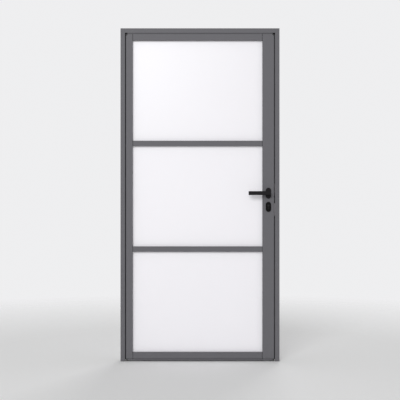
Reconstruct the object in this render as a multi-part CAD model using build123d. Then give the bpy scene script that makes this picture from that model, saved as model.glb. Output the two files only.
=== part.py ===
from build123d import *
from math import cos, radians, tan
import os

os.makedirs("parts", exist_ok=True)

# A glazed aluminium door in its frame, in millimetres.
# X runs to the right seen from the front, Y from the front to the back, Z up.
# The origin is on the floor, in the middle of the frame's width and depth.
# Sections are drawn inwards from an edge and back from the front face.

# Overall size
FRAME_WIDTH = 1000.0
FRAME_HEIGHT = 2095.0
FRAME_DEPTH = 50.0

# Frame section
WALL = 2.0
FRAME_FACE = 28.0
SIDE_GAP = 7.0
LIP_WIDTH = 15.0
LIP_THICKNESS = 12.0
LIP_GAP = 4.0
SEAL_GAP = 4.0
SEAL_FOOT = 3.0
SEAL_FOOT_DEPTH = 2.0
SEAL_BASE = 6.0
SEAL_CLEARANCE = 0.3
FIN_DROP = 5.0
FIN_THICKNESS = 2.0
FIN_SETBACK = 1.5
FIN_END = 15.0

# Leaf sections
FLOOR_GAP = 6.0
SWEEP_HEIGHT = 11.0
SHADOW_LINE = 2.4
SHADOW_DEPTH = 1.2
HINGE_STILE_FACE = 41.0
LOCK_STILE_FACE = 72.0
RAIL_FACE = 41.0
BAR_FACE = 34.0
STOP_DEPTH = 17.0
CORNER_WIDTH = 13.0
CORNER_HEIGHT = 14.0
CAP_INSERT = 8.0
CAP_RECESS = 1.0
BRUSH_GAP = 1.0
BRUSH_THICKNESS = 5.0
BRUSH_FOOT = 9.0
BRUSH_FOOT_HEIGHT = 3.0

# Glazing
GLASS_THICKNESS = 8.0
EDGE_COVER = 10.0
GLASS_CLEARANCE = 4.0
GASKET_THICKNESS = 4.0
GASKET_INSET = 0.5
GASKET_COVER = 9.0
BEAD_WALL = 1.5
NIB_WIDTH = 1.8
NIB_HEIGHT = 0.8
NIB_OFFSET = 7.0
BLOCK_LENGTH = 60.0

# Joints between sections
JOINT_LINE = 1.6
SPIGOT_LENGTH = 40.0
SPIGOT_SCREW_RADIUS = 2.5
SPIGOT_SCREW_BITE = 30.0
ACCESS_RADIUS = 6.0
HEAD_ACCESS_RADIUS = 5.0
HEAD_SCREW_INSET = 5.0
HEAD_SCREW_SPREAD = 12.0
FIT = 0.1
SCREW_FIT = 0.05

# Wall fixings, in pairs about the middle of the jamb
FIXING_RADIUS = 4.0
FIXING_SPREADS = (1800.0, 600.0)
FIXING_CAP_RADIUS = 7.5
FIXING_CAP_THICKNESS = 1.5

# Hinges
LOWER_HINGE_RISE = 230.0
UPPER_HINGE_DROP = 200.0
HINGE_NAMES = ("lower", "middle", "upper")
KNUCKLE_RADIUS = 7.0
KNUCKLE_CLEARANCE = 1.0
PIN_RADIUS = 4.0
RUNNING_FIT = 0.05
LEAF_KNUCKLE = 40.0
FRAME_KNUCKLE = 30.0
BUSH_WALL = 1.0
BUSH_FLANGE = 0.8
BUSH_SHARE = 1 / 3
PIN_HEAD_LAP = 1.5
PIN_HEAD_HEIGHT = 2.0
KNUCKLE_GAP = 0.2
HINGE_PLATE = 3.0
HINGE_OFFSET = 2.0
FRAME_PLATE_MARGIN = 0.5
LEAF_PLATE_REACH = 32.0
HINGE_SCREW_RADIUS = 2.4
HINGE_SCREW_HEAD = 4.0
HINGE_SCREW_LENGTH = 12.0
HINGE_SCREW_SPREAD = 35.0
LEAF_SCREW_REACH = 26.0
FRAME_SCREW_REACH = 12.0

# Lock, in the lock stile
LOCK_DEPTH = 19.0
BACKSET = 35.0
FOREND_WIDTH = 24.0
FOREND_THICKNESS = 3.0
FOREND_DROP = 168.0
FOREND_LENGTH = 242.0
CASE_THICKNESS = 16.0
CASE_LENGTH = 50.0
CASE_DROP = 143.0
CASE_HEIGHT = 195.0
CASE_WALL = 1.5
CASE_CLEARANCE = 0.3
CASE_POSTS = ((8.0, 5.0), (42.0, 5.0), (8.0, 120.0), (8.0, 189.0), (42.0, 189.0))
POST_RADIUS = 3.0
CASE_SCREW_RADIUS = 1.5
FOREND_SCREW_INSET = 10.0
FOREND_SCREW_RADIUS = 2.0
FOREND_SCREW_HEAD = 3.8
FOREND_SCREW_LENGTH = 12.0
BOLT_CLEARANCE = 0.3
LATCH_HEIGHT = 16.0
LATCH_THICKNESS = 12.0
LATCH_RISE = 28.0
LATCH_THROW = 14.0
LATCH_HEAD = 28.0
LATCH_TAIL_HEIGHT = 8.0
LATCH_TAIL_THICKNESS = 5.0
LATCH_HOOK = 3.5
LATCH_HOOK_DROP = 9.0
FOLLOWER_HUB = 10.0
FOLLOWER_JOURNAL = 9.0
FOLLOWER_ARM = 22.0
FOLLOWER_ARM_WIDTH = 6.0
FOLLOWER_ARM_THICKNESS = 8.0
FOLLOWER_LEAN = 20.0
ARM_GAP = 0.5
DEADBOLT_HEIGHT = 25.0
DEADBOLT_THICKNESS = 10.0
DEADBOLT_LENGTH = 45.0
DEADBOLT_DROP = 42.5
DEADBOLT_CHAMFER = 0.6

# Profile cylinder
CYLINDER_DROP = 78.0
CYLINDER_RADIUS = 8.5
CYLINDER_WEB = 10.0
CYLINDER_HEIGHT = 33.0
CYLINDER_PROUD = 3.0
CYLINDER_CLEARANCE = 0.5
CAM_SLOT = 11.0
CAM_RADIUS = 15.3
CAM_TIP = 7.0
CAM_CLEARANCE = 0.5
PLUG_RADIUS = 6.5
KEYWAY_WIDTH = 1.8
KEYWAY_HEIGHT = 8.5
KEYWAY_RISE = 2.975
KEYWAY_DEPTH = 22.0
CYLINDER_SCREW_RADIUS = 2.5
CYLINDER_SCREW_HEAD = 4.6

# Furniture on both faces
LEVER_HEIGHT = 1058.0
LEVER_REACH = 126.6
GRIP_HEIGHT = 24.6
GRIP_THICKNESS = 9.0
GRIP_TAIL = 13.0
GRIP_STANDOFF = 45.0
GRIP_ROUND = 2.0
NECK_RADIUS = 9.5
NECK_CLEARANCE = 0.3
ROSE_WIDTH = 33.0
ROSE_HEIGHT = 68.0
ROSE_DEPTH = 8.0
ROSE_WALL = 1.5
ROSE_ROUND = 1.0
ROSE_BASE_DEPTH = 5.0
ESCUTCHEON_HEIGHT = 62.0
ESCUTCHEON_DROP = 86.0
SPINDLE_SIDE = 8.0
SPINDLE_SOCKET = 35.0
STILE_HOLE_RADIUS = 10.0
GRUB_RADIUS = 2.5
GRUB_PLACE = 18.0
FURNITURE_SCREW_RADIUS = 2.0
FURNITURE_SCREW_HEAD = 3.6
FURNITURE_SCREW_LENGTH = 12.0
ROSE_SCREW_SPREAD = 24.0
ESCUTCHEON_SCREW_HIGH = 23.0
ESCUTCHEON_SCREW_LOW = 26.0

# Keep in the lock jamb
STRIKE_DROP = 153.0
STRIKE_LENGTH = 222.0
STRIKE_SCREW_INSET = 8.0
STRIKE_OPENING = 1.5
GUARD_THICKNESS = 1.5
GUARD_LAP = 2.0
GUARD_LIP = 2.0
GUARD_SETBACK = 0.5
LATCH_GUARD = (-2.0, 58.0, 2.5)
BOLT_GUARD = (-141.0, -64.0, 5.6)
DUST_BOX_WIDTH = 18.0
DUST_BOX_WALL = 1.2
DUST_BOX_MARGIN = 8.0

# Places that follow from the sizes above
FRONT = -FRAME_DEPTH / 2
BACK = FRAME_DEPTH / 2
FRAME_HALF = FRAME_WIDTH / 2
REAR_FACE = FRAME_FACE + SIDE_GAP - LIP_WIDTH - LIP_GAP
REBATE_DEPTH = FRAME_DEPTH - LIP_THICKNESS - SEAL_GAP
LIP_DEPTH = FRAME_DEPTH - LIP_THICKNESS
SEAL_LINE = (FRAME_FACE + REAR_FACE) / 2 - 1
LEAF_HALF = FRAME_HALF - FRAME_FACE - SIDE_GAP
LEAF_TOP = FRAME_HEIGHT - FRAME_FACE - SIDE_GAP
RAIL_BOTTOM = FLOOR_GAP + SWEEP_HEIGHT
STOP_WIDTH = EDGE_COVER + GLASS_CLEARANCE
GLASS_FRONT = STOP_DEPTH + GASKET_THICKNESS
GLASS_BACK = GLASS_FRONT + GLASS_THICKNESS
BEAD_FRONT = GLASS_BACK + GASKET_THICKNESS
NIB_DEPTH = BEAD_FRONT + NIB_OFFSET
SIGHT_LEFT = -LEAF_HALF + HINGE_STILE_FACE
SIGHT_RIGHT = LEAF_HALF - LOCK_STILE_FACE
TUBE_LEFT = SIGHT_LEFT - STOP_WIDTH
TUBE_RIGHT = SIGHT_RIGHT + STOP_WIDTH
SIGHT_LOW = RAIL_BOTTOM + RAIL_FACE
SIGHT_HIGH = LEAF_TOP - RAIL_FACE
PANE_HEIGHT = (SIGHT_HIGH - SIGHT_LOW - 2 * BAR_FACE) / 3
PANE_NAMES = ("lower", "middle", "upper")
PANE_LOWS = [SIGHT_LOW + i * (PANE_HEIGHT + BAR_FACE) for i in range(3)]
GROOVE_DEPTH = FOREND_THICKNESS
GROOVE_FRONT = LOCK_DEPTH - FOREND_WIDTH / 2 - FIT
GROOVE_BACK = LOCK_DEPTH + FOREND_WIDTH / 2 + FIT
FLOOR_OF_GROOVE = GROOVE_DEPTH + WALL
LOCK_Y = FRONT + LOCK_DEPTH
SPINDLE_X = LEAF_HALF - BACKSET
LATCH_Z = LEVER_HEIGHT + LATCH_RISE
CYLINDER_Z = LEVER_HEIGHT - CYLINDER_DROP
DEADBOLT_Z = CYLINDER_Z - DEADBOLT_DROP
ESCUTCHEON_Z = LEVER_HEIGHT - ESCUTCHEON_DROP
CYLINDER_LEG = CYLINDER_HEIGHT - CYLINDER_RADIUS - CYLINDER_WEB / 2
CYLINDER_SCREW_Z = CYLINDER_Z - CYLINDER_LEG
HINGE_X = -LEAF_HALF - LIP_WIDTH - HINGE_OFFSET
HINGE_Y = BACK + KNUCKLE_RADIUS + KNUCKLE_CLEARANCE
HINGE_HALF = LEAF_KNUCKLE / 2 + BUSH_FLANGE + KNUCKLE_GAP + FRAME_KNUCKLE
UPPER_HINGE_Z = LEAF_TOP - UPPER_HINGE_DROP
HINGE_PLACES = (LOWER_HINGE_RISE, (LOWER_HINGE_RISE + UPPER_HINGE_Z) / 2, UPPER_HINGE_Z)
FOREND_LOW = LEVER_HEIGHT - FOREND_DROP
FOREND_HIGH = FOREND_LOW + FOREND_LENGTH
CASE_LOW = LEVER_HEIGHT - CASE_DROP
CASE_HIGH = CASE_LOW + CASE_HEIGHT
STRIKE_LOW = LEVER_HEIGHT - STRIKE_DROP
STRIKE_HIGH = STRIKE_LOW + STRIKE_LENGTH
JAMB_MIDDLE = FRAME_HEIGHT / 2

RIGHT = (1, 0, 0)
LEFT = (-1, 0, 0)
UP = (0, 0, 1)
DOWN = (0, 0, -1)
REARWARD = (0, 1, 0)
FRONTWARD = (0, -1, 0)
BASE = (Align.CENTER, Align.CENTER, Align.MIN)


# General shapes

def area(across_from, across_to, deep_from, deep_to):
    """A rectangle of a section, between two distances across it and two depths."""
    width = across_to - across_from
    depth = deep_to - deep_from
    return Pos(across_from + width / 2, deep_from + depth / 2) * Rectangle(width, depth)


def block(x, y, z):
    """A square-edged block between a pair of limits along each axis."""
    size = [abs(b - a) for a, b in (x, y, z)]
    middle = [(a + b) / 2 for a, b in (x, y, z)]
    return Pos(*middle) * Box(*size)


def rod(radius, start, direction, length):
    """A round rod from a point along a direction."""
    return Plane(origin=start, z_dir=direction) * Cylinder(radius, length, align=BASE)


def depth(distance):
    """The Y of a distance back from the front face."""
    return FRONT + distance


def upright(section, side, edge, low, high):
    """A section stood upright, drawn inwards from an edge on the left (-1) or right (1)."""
    start = low if side < 0 else high
    plane = Plane(origin=(side * edge, FRONT, start), x_dir=(-side, 0, 0), z_dir=(0, 0, -side))
    return plane * extrude(section, amount=high - low)


def level(section, facing, edge, left, right):
    """A section laid level, drawn down (1) or up (-1) from an edge."""
    start = left if facing > 0 else right
    plane = Plane(origin=(start, FRONT, edge), x_dir=(0, 0, -facing), z_dir=(facing, 0, 0))
    return plane * extrude(section, amount=right - left)


def face_plane(side, x, z):
    """A plane on the front (-1) or back (1) face of the leaf that faces outwards, with Y up."""
    return Plane(origin=(x, side * BACK, z), x_dir=(-side, 0, 0), z_dir=(0, side, 0))


def sunk_screw(seat, inwards, radius, head_radius, length, gap=0.0):
    """A countersunk screw, or with a gap the hole that takes it."""
    shank = Cylinder(radius + gap, length + gap, align=BASE)
    head = Cone(head_radius + gap, radius + gap, head_radius - radius, align=BASE)
    screw = shank + head
    if gap == 0:
        screw -= extrude(RegularPolygon(head_radius * 0.45, 6), amount=head_radius * 0.5)
    return Plane(origin=seat, z_dir=inwards) * screw


def pan_screw(seat, inwards, radius, length):
    """A screw whose round head stands on the seat."""
    head = Pos(0, 0, -radius) * Cylinder(radius * 1.8, radius, align=BASE)
    shank = Cylinder(radius, length, align=BASE)
    return Plane(origin=seat, z_dir=inwards) * (head + shank)


def group(solids):
    """Separate solids kept together in one node."""
    return Compound(children=list(solids))


# Frame

def frame_section():
    """L-shaped hollow section: a deep box in front and a slimmer one behind the leaf's lip."""
    section = area(0, FRAME_FACE, 0, REBATE_DEPTH) + area(0, REAR_FACE, 0, FRAME_DEPTH)
    inner = FRAME_FACE - FLOOR_OF_GROOVE
    section -= area(WALL, inner, WALL, REBATE_DEPTH - WALL - SEAL_FOOT_DEPTH)
    section -= area(WALL, REAR_FACE - WALL, REBATE_DEPTH, FRAME_DEPTH - WALL)
    section -= area(FRAME_FACE - GROOVE_DEPTH, FRAME_FACE, GROOVE_FRONT, GROOVE_BACK)
    half = SEAL_FOOT / 2
    section -= area(SEAL_LINE - half, SEAL_LINE + half, REBATE_DEPTH - SEAL_FOOT_DEPTH, REBATE_DEPTH)
    return section


def fixing_heights():
    """The heights of the wall fixings of a jamb."""
    return [JAMB_MIDDLE + sign * spread / 2 for spread in FIXING_SPREADS for sign in (-1, 1)]


def frame_x(side, inwards):
    """The X of a distance inwards from the frame's outer edge."""
    return side * (FRAME_HALF - inwards)


def head_screw_places():
    """Depth and height of the two screws that hold each end of the head."""
    low = FRAME_HEIGHT - FRAME_FACE + FLOOR_OF_GROOVE
    height = (low + FRAME_HEIGHT - WALL) / 2
    first = GROOVE_FRONT + HEAD_SCREW_INSET
    return [(first, height), (first + HEAD_SCREW_SPREAD, height)]


def hinge_screw_places(z):
    """X and Z of the screws in the frame plate and in the leaf plate of one hinge."""
    frame_x_place = HINGE_X - FRAME_SCREW_REACH
    leaf_x_place = HINGE_X + LEAF_SCREW_REACH
    frame_places = [(frame_x_place, z + sign * HINGE_SCREW_SPREAD) for sign in (-1, 1)]
    leaf_places = [(leaf_x_place, z + sign * HINGE_SCREW_SPREAD) for sign in (-1, 0, 1)]
    return frame_places, leaf_places


def jamb(side):
    """One jamb with its fixing holes and the holes for the head's screws."""
    body = upright(frame_section(), side, FRAME_HALF, 0, FRAME_HEIGHT)
    outer = (frame_x(side, 0), depth(LOCK_DEPTH))
    inwards = (-side, 0, 0)
    for z in fixing_heights():
        body -= rod(FIXING_RADIUS, (*outer, z), inwards, FRAME_FACE)
        floor = (frame_x(side, FRAME_FACE - FLOOR_OF_GROOVE - 1), depth(LOCK_DEPTH), z)
        body -= rod(ACCESS_RADIUS, floor, inwards, FRAME_FACE)
    for place, z in head_screw_places():
        start = (frame_x(side, 0), depth(place), z)
        body -= rod(HEAD_ACCESS_RADIUS, start, inwards, WALL)
        body -= rod(SPIGOT_SCREW_RADIUS + SCREW_FIT, start, inwards, FRAME_FACE)
    return body


def left_jamb():
    """The hinge jamb, with the screw holes of the hinges in its rear face."""
    body = jamb(-1)
    for height in HINGE_PLACES:
        for x, z in hinge_screw_places(height)[0]:
            body -= rod(HINGE_SCREW_RADIUS + SCREW_FIT, (x, BACK, z), FRONTWARD, WALL)
    return body


def dust_box_limits():
    """Height limits of the dust box behind the strike plate."""
    low = DEADBOLT_Z - DEADBOLT_HEIGHT / 2 - DUST_BOX_MARGIN
    high = LATCH_Z + LATCH_HEIGHT / 2 + DUST_BOX_MARGIN
    return low, high


def dust_box_space(gap):
    """The outer form of the dust box, or with a gap the hole that takes it."""
    low, high = dust_box_limits()
    half = DUST_BOX_WIDTH / 2 + gap
    x = (frame_x(1, FRAME_FACE - GROOVE_DEPTH), frame_x(1, WALL + 1))
    return block(x, (LOCK_Y - half, LOCK_Y + half), (low - gap, high + gap))


def dust_box():
    """The thin moulded box that the bolts enter, open towards the leaf."""
    low, high = dust_box_limits()
    half = DUST_BOX_WIDTH / 2 - DUST_BOX_WALL
    x = (frame_x(1, FRAME_FACE - GROOVE_DEPTH), frame_x(1, WALL + 1 + DUST_BOX_WALL))
    hollow = block(x, (LOCK_Y - half, LOCK_Y + half), (low + DUST_BOX_WALL, high - DUST_BOX_WALL))
    return dust_box_space(0) - hollow


def strike_screw_heights():
    """Heights of the strike plate's screws."""
    return [STRIKE_LOW + STRIKE_SCREW_INSET, STRIKE_HIGH - STRIKE_SCREW_INSET]


def strike_screw(z, gap=0.0):
    """One screw of the strike plate, or its hole."""
    seat = (frame_x(1, FRAME_FACE), LOCK_Y, z)
    return sunk_screw(seat, RIGHT, FOREND_SCREW_RADIUS, FOREND_SCREW_HEAD, FOREND_SCREW_LENGTH, gap)


def right_jamb():
    """The lock jamb, cut out for the dust box and the strike plate's screws."""
    body = jamb(1) - dust_box_space(CASE_CLEARANCE)
    for z in strike_screw_heights():
        body -= strike_screw(z, SCREW_FIT)
    return body


def guard(from_lever, to_lever, reach):
    """A guard that covers the front of the gap between two heights counted from the lever."""
    z = (LEVER_HEIGHT + from_lever, LEVER_HEIGHT + to_lever)
    edge = frame_x(1, FRAME_FACE)
    inner = edge - GUARD_THICKNESS
    foot = block((edge, inner), (depth(GUARD_SETBACK), depth(GROOVE_FRONT + GUARD_LAP)), z)
    lip = block((edge, edge - reach), (depth(GUARD_SETBACK), depth(GUARD_SETBACK + GUARD_LIP)), z)
    return foot + lip


def strike_plate():
    """The keep: a flush plate with two bolt openings and a guard in front of each."""
    x = (frame_x(1, FRAME_FACE), frame_x(1, FRAME_FACE - GROOVE_DEPTH))
    half = FOREND_WIDTH / 2
    plate = block(x, (LOCK_Y - half, LOCK_Y + half), (STRIKE_LOW, STRIKE_HIGH))
    for z, height, thickness in (
        (LATCH_Z, LATCH_HEIGHT, LATCH_THICKNESS),
        (DEADBOLT_Z, DEADBOLT_HEIGHT, DEADBOLT_THICKNESS),
    ):
        tall = height / 2 + STRIKE_OPENING
        deep = thickness / 2 + STRIKE_OPENING
        plate -= block(x, (LOCK_Y - deep, LOCK_Y + deep), (z - tall, z + tall))
    plate += guard(*LATCH_GUARD)
    plate += guard(*BOLT_GUARD)
    for z in strike_screw_heights():
        plate -= strike_screw(z, SCREW_FIT)
    return plate


def frame_head():
    """The head between the jambs, with a fin that covers most of the top gap."""
    section = frame_section()
    section += area(FRAME_FACE - WALL, FRAME_FACE + FIN_DROP, FIN_SETBACK, FIN_SETBACK + FIN_THICKNESS)
    front_end = frame_x(1, FRAME_FACE)
    rear_end = frame_x(1, REAR_FACE)
    body = level(section, 1, FRAME_HEIGHT, -rear_end, rear_end)
    below = FRAME_HEIGHT - FRAME_FACE
    for side in (-1, 1):
        ends = (side * front_end, side * (rear_end + 1))
        body -= block(ends, (FRONT - 1, depth(REBATE_DEPTH)), (0, FRAME_HEIGHT + 1))
        fin_ends = (side * (front_end - FIN_END), side * (rear_end + 1))
        body -= block(fin_ends, (FRONT - 1, depth(REBATE_DEPTH)), (below - FIN_DROP - 1, below))
    return body


def head_spigots():
    """Blocks in the head's ends, tapped for the screws through the jambs."""
    low = FRAME_HEIGHT - FRAME_FACE + FLOOR_OF_GROOVE + FIT
    high = FRAME_HEIGHT - WALL - FIT
    y = (depth(WALL + FIT), depth(REBATE_DEPTH - WALL - SEAL_FOOT_DEPTH - FIT))
    end = frame_x(1, FRAME_FACE)
    solids = []
    for side in (-1, 1):
        body = block((side * end, side * (end - SPIGOT_LENGTH)), y, (low, high))
        for place, z in head_screw_places():
            start = (side * end, depth(place), z)
            body -= rod(SPIGOT_SCREW_RADIUS + SCREW_FIT, start, (-side, 0, 0), SPIGOT_LENGTH)
        solids.append(body)
    return group(solids)


def head_screws():
    """The screws from inside each jamb into the head's spigots."""
    inner = FRAME_FACE - FLOOR_OF_GROOVE
    length = FLOOR_OF_GROOVE + SPIGOT_SCREW_BITE
    return group(
        pan_screw((frame_x(side, inner), depth(place), z), (-side, 0, 0), SPIGOT_SCREW_RADIUS, length)
        for side in (-1, 1)
        for place, z in head_screw_places()
    )


def seal_section():
    """Bulb seal of the rebate: a foot in its groove, a base and a hollow bulb."""
    bulb = (SEAL_GAP - SEAL_CLEARANCE) / 2
    half = SEAL_FOOT / 2 - FIT
    section = area(SEAL_LINE - half, SEAL_LINE + half, REBATE_DEPTH - SEAL_FOOT_DEPTH, REBATE_DEPTH + bulb)
    base = SEAL_BASE / 2
    section += area(SEAL_LINE - base, SEAL_LINE + base, REBATE_DEPTH, REBATE_DEPTH + bulb / 2)
    section += Pos(SEAL_LINE, REBATE_DEPTH + bulb) * Circle(bulb)
    return section - Pos(SEAL_LINE, REBATE_DEPTH + bulb) * Circle(bulb * 0.55)


def frame_seal():
    """The bulb seal of both jambs and the head, joined by moulded corners."""
    section = seal_section()
    top = FRAME_HEIGHT - FRAME_FACE
    end = frame_x(1, FRAME_FACE)
    seal = level(section, 1, FRAME_HEIGHT, -end, end)
    y = (depth(REBATE_DEPTH), depth(LIP_DEPTH - SEAL_CLEARANCE))
    for side in (-1, 1):
        seal += upright(section, side, FRAME_HALF, 0, top)
        seal += block((frame_x(side, FRAME_FACE), frame_x(side, REAR_FACE)), y, (top, FRAME_HEIGHT - REAR_FACE))
    return seal


def fixing_caps():
    """Plastic caps in the access holes of the wall fixings."""
    solids = []
    for side in (-1, 1):
        floor = frame_x(side, FRAME_FACE - GROOVE_DEPTH)
        for z in fixing_heights():
            stem = rod(ACCESS_RADIUS - FIT, (floor, LOCK_Y, z), (side, 0, 0), WALL + 1)
            head = rod(FIXING_CAP_RADIUS, (floor, LOCK_Y, z), (-side, 0, 0), FIXING_CAP_THICKNESS)
            solids.append(stem + head)
    return group(solids)


# Leaf sections and bars

def stile_section(face, with_lip=True):
    """Hollow section of a stile or rail: tube, glazing stop in front and lip behind."""
    tube = face - STOP_WIDTH
    section = area(0, tube, 0, FRAME_DEPTH) + area(0, face, 0, STOP_DEPTH)
    inner = WALL
    if with_lip:
        section += area(-LIP_WIDTH, tube, LIP_DEPTH, FRAME_DEPTH)
        section -= area(-LIP_WIDTH + WALL, GROOVE_DEPTH, LIP_DEPTH + WALL, FRAME_DEPTH - WALL)
        section -= area(0, GROOVE_DEPTH, GROOVE_FRONT, GROOVE_BACK)
        inner = FLOOR_OF_GROOVE
    section -= area(inner, tube - WALL, WALL, FRAME_DEPTH - WALL)
    section -= area(tube, face - WALL, WALL, STOP_DEPTH - WALL)
    section -= area(tube - NIB_HEIGHT - FIT, tube, NIB_DEPTH, NIB_DEPTH + NIB_WIDTH)
    return section


def bar_section():
    """Section of a glazing bar about its middle: a stop box in front and a thin web behind."""
    half = BAR_FACE / 2
    web = half - STOP_WIDTH
    section = area(-half, half, 0, STOP_DEPTH) + area(-web, web, 0, FRAME_DEPTH)
    section -= area(WALL - half, half - WALL, WALL, STOP_DEPTH - WALL)
    for sign in (-1, 1):
        near = sign * web
        far = sign * (web - NIB_HEIGHT - FIT)
        section -= area(min(near, far), max(near, far), NIB_DEPTH, NIB_DEPTH + NIB_WIDTH)
    return section


def spigot_screw_places():
    """Side, depth and height of each screw that holds a rail or a bar to a stile."""
    rail_depth = (STOP_DEPTH + WALL + FRAME_DEPTH - WALL) / 2
    heights = [(rail_depth, LEAF_TOP - RAIL_FACE + STOP_WIDTH + (RAIL_FACE - STOP_WIDTH) / 2)]
    heights.append((rail_depth, RAIL_BOTTOM + (RAIL_FACE - STOP_WIDTH) / 2))
    for low in PANE_LOWS[1:]:
        heights.append((STOP_DEPTH / 2, low - BAR_FACE / 2))
    return [(side, deep, z) for side in (-1, 1) for deep, z in heights]


def tube_wall(side):
    """X of the stile tube's face that a rail stands against, and the direction into the rail."""
    return (TUBE_LEFT if side < 0 else TUBE_RIGHT), (-side, 0, 0)


def stile(side, face):
    """One stile, notched at its top round the lip and cut back at its outer corners."""
    body = upright(stile_section(face), side, LEAF_HALF, FLOOR_GAP, LEAF_TOP + LIP_WIDTH)
    edge = side * (LEAF_HALF + LIP_WIDTH + 1)
    inner = side * (LEAF_HALF - face - 1)
    body -= block((edge, inner), (FRONT - 1, depth(LIP_DEPTH)), (LEAF_TOP, LEAF_TOP + LIP_WIDTH + 1))
    for corner in corner_wedges(side, FRONT - 1, depth(LIP_DEPTH)):
        body -= corner
    line = (RAIL_BOTTOM - SHADOW_LINE, RAIL_BOTTOM)
    body -= block((side * LEAF_HALF, inner), (FRONT, depth(SHADOW_DEPTH)), line)
    wall_x, inwards = tube_wall(side)
    for place, deep, z in spigot_screw_places():
        if place == side:
            start = (wall_x + side * WALL, depth(deep), z)
            body -= rod(SPIGOT_SCREW_RADIUS + SCREW_FIT, start, inwards, STOP_WIDTH + 2 * WALL)
            outer = (side * LEAF_HALF, depth(deep), z)
            body -= rod(ACCESS_RADIUS, outer, inwards, FLOOR_OF_GROOVE)
    return body


def corner_wedges(side, near, far):
    """The triangular prisms cut from the two outer corners of the leaf on one side."""
    solids = []
    for z, sign in ((LEAF_TOP, -1), (FLOOR_GAP, 1)):
        points = [
            (side * LEAF_HALF, z),
            (side * (LEAF_HALF - CORNER_WIDTH), z),
            (side * LEAF_HALF, z + sign * CORNER_HEIGHT),
        ]
        outline = make_face(Polyline(*points, close=True))
        plane = Plane(origin=(0, near, 0), x_dir=RIGHT, z_dir=FRONTWARD)
        solids.append(plane * extrude(outline, amount=near - far))
    return solids


def stile_cap(side, face, top):
    """A moulded cap in the open end of a stile, with the wedge that fills the leaf's corner."""
    tube = face - STOP_WIDTH
    x = (side * (LEAF_HALF - FLOOR_OF_GROOVE - FIT), side * (LEAF_HALF - tube + WALL + FIT))
    y = (depth(WALL + FIT), depth(FRAME_DEPTH - WALL - FIT))
    end = LEAF_TOP if top else FLOOR_GAP
    inner = end - CAP_INSERT if top else end + CAP_INSERT
    cap = block(x, y, (end, inner))
    if top:
        cap += block(x, (depth(LIP_DEPTH), y[1]), (inner, end + LIP_WIDTH))
    wedges = corner_wedges(side, depth(CAP_RECESS), depth(LIP_DEPTH))
    return cap + wedges[0 if top else 1]


def stile_caps():
    """The caps at the tops and the feet of both stiles."""
    faces = ((-1, HINGE_STILE_FACE), (1, LOCK_STILE_FACE))
    return group(stile_cap(side, face, top) for side, face in faces for top in (True, False))


def hinge_stile():
    """The stile that carries the hinges."""
    body = stile(-1, HINGE_STILE_FACE)
    for height in HINGE_PLACES:
        for x, z in hinge_screw_places(height)[1]:
            body -= rod(HINGE_SCREW_RADIUS + SCREW_FIT, (x, BACK, z), FRONTWARD, WALL)
    return body


def lock_stile():
    """The wider stile that holds the lock and the cylinder."""
    body = stile(1, LOCK_STILE_FACE)
    half = CASE_THICKNESS / 2 + CASE_CLEARANCE
    floor = (LEAF_HALF - GROOVE_DEPTH, LEAF_HALF - FLOOR_OF_GROOVE)
    opening_z = (CASE_LOW - CASE_CLEARANCE, CASE_HIGH + CASE_CLEARANCE)
    body -= block(floor, (LOCK_Y - half, LOCK_Y + half), opening_z)
    body -= rod(STILE_HOLE_RADIUS, (SPINDLE_X, FRONT, LEVER_HEIGHT), REARWARD, FRAME_DEPTH)
    body -= cylinder_prism(FRONT, BACK, CYLINDER_CLEARANCE)
    for z in forend_screw_heights():
        body -= forend_screw(z, SCREW_FIT)
    for side in (-1, 1):
        for seat in furniture_screw_seats(side):
            hole = FURNITURE_SCREW_RADIUS + SCREW_FIT
            body -= rod(hole, (seat[0], side * BACK, seat[2]), (0, -side, 0), WALL)
    return body


def cope(body, joint=0.0):
    """A rail or bar cut back in front, where the stiles' glazing stops stand, with an open joint line."""
    y = (FRONT - 1, depth(STOP_DEPTH))
    z = (0, FRAME_HEIGHT)
    left = block((TUBE_LEFT - 1, SIGHT_LEFT + joint), y, z)
    return body - left - block((SIGHT_RIGHT - joint, TUBE_RIGHT + 1), y, z)


def top_rail():
    """The top rail with its lip."""
    return cope(level(stile_section(RAIL_FACE), 1, LEAF_TOP, TUBE_LEFT, TUBE_RIGHT), JOINT_LINE)


def bottom_rail():
    """The bottom rail, square below."""
    section = stile_section(RAIL_FACE, with_lip=False)
    return cope(level(section, -1, RAIL_BOTTOM, TUBE_LEFT, TUBE_RIGHT), JOINT_LINE)


def glazing_bar(pane):
    """The bar below a pane."""
    return cope(level(bar_section(), 1, PANE_LOWS[pane] - BAR_FACE / 2, TUBE_LEFT, TUBE_RIGHT))


def rail_spigots():
    """Blocks in the ends of the rails and bars, tapped for the screws through the stiles."""
    solids = []
    for side, deep, z in spigot_screw_places():
        is_bar = deep < STOP_DEPTH
        inwards = (-side, 0, 0)
        if is_bar:
            end = SIGHT_LEFT if side < 0 else SIGHT_RIGHT
            y = (depth(WALL + FIT), depth(STOP_DEPTH - WALL - FIT))
            half = BAR_FACE / 2 - WALL - FIT
        else:
            end = tube_wall(side)[0]
            y = (depth(STOP_DEPTH + WALL), depth(FRAME_DEPTH - WALL - FIT))
            half = (RAIL_FACE - STOP_WIDTH) / 2 - WALL - FIT
            if z > JAMB_MIDDLE:
                half -= GROOVE_DEPTH
        body = block((end, end - side * SPIGOT_LENGTH), y, (z - half, z + half))
        body -= rod(SPIGOT_SCREW_RADIUS + SCREW_FIT, (end, depth(deep), z), inwards, SPIGOT_LENGTH)
        solids.append(body)
    return group(solids)


def rail_screws():
    """Screws from inside the stiles into the spigots of the rails and bars."""
    solids = []
    for side, deep, z in spigot_screw_places():
        wall_x, inwards = tube_wall(side)
        through = WALL + STOP_WIDTH if deep < STOP_DEPTH else WALL
        seat = (wall_x + side * WALL, depth(deep), z)
        solids.append(pan_screw(seat, inwards, SPIGOT_SCREW_RADIUS, through + SPIGOT_SCREW_BITE))
    return group(solids)


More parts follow.
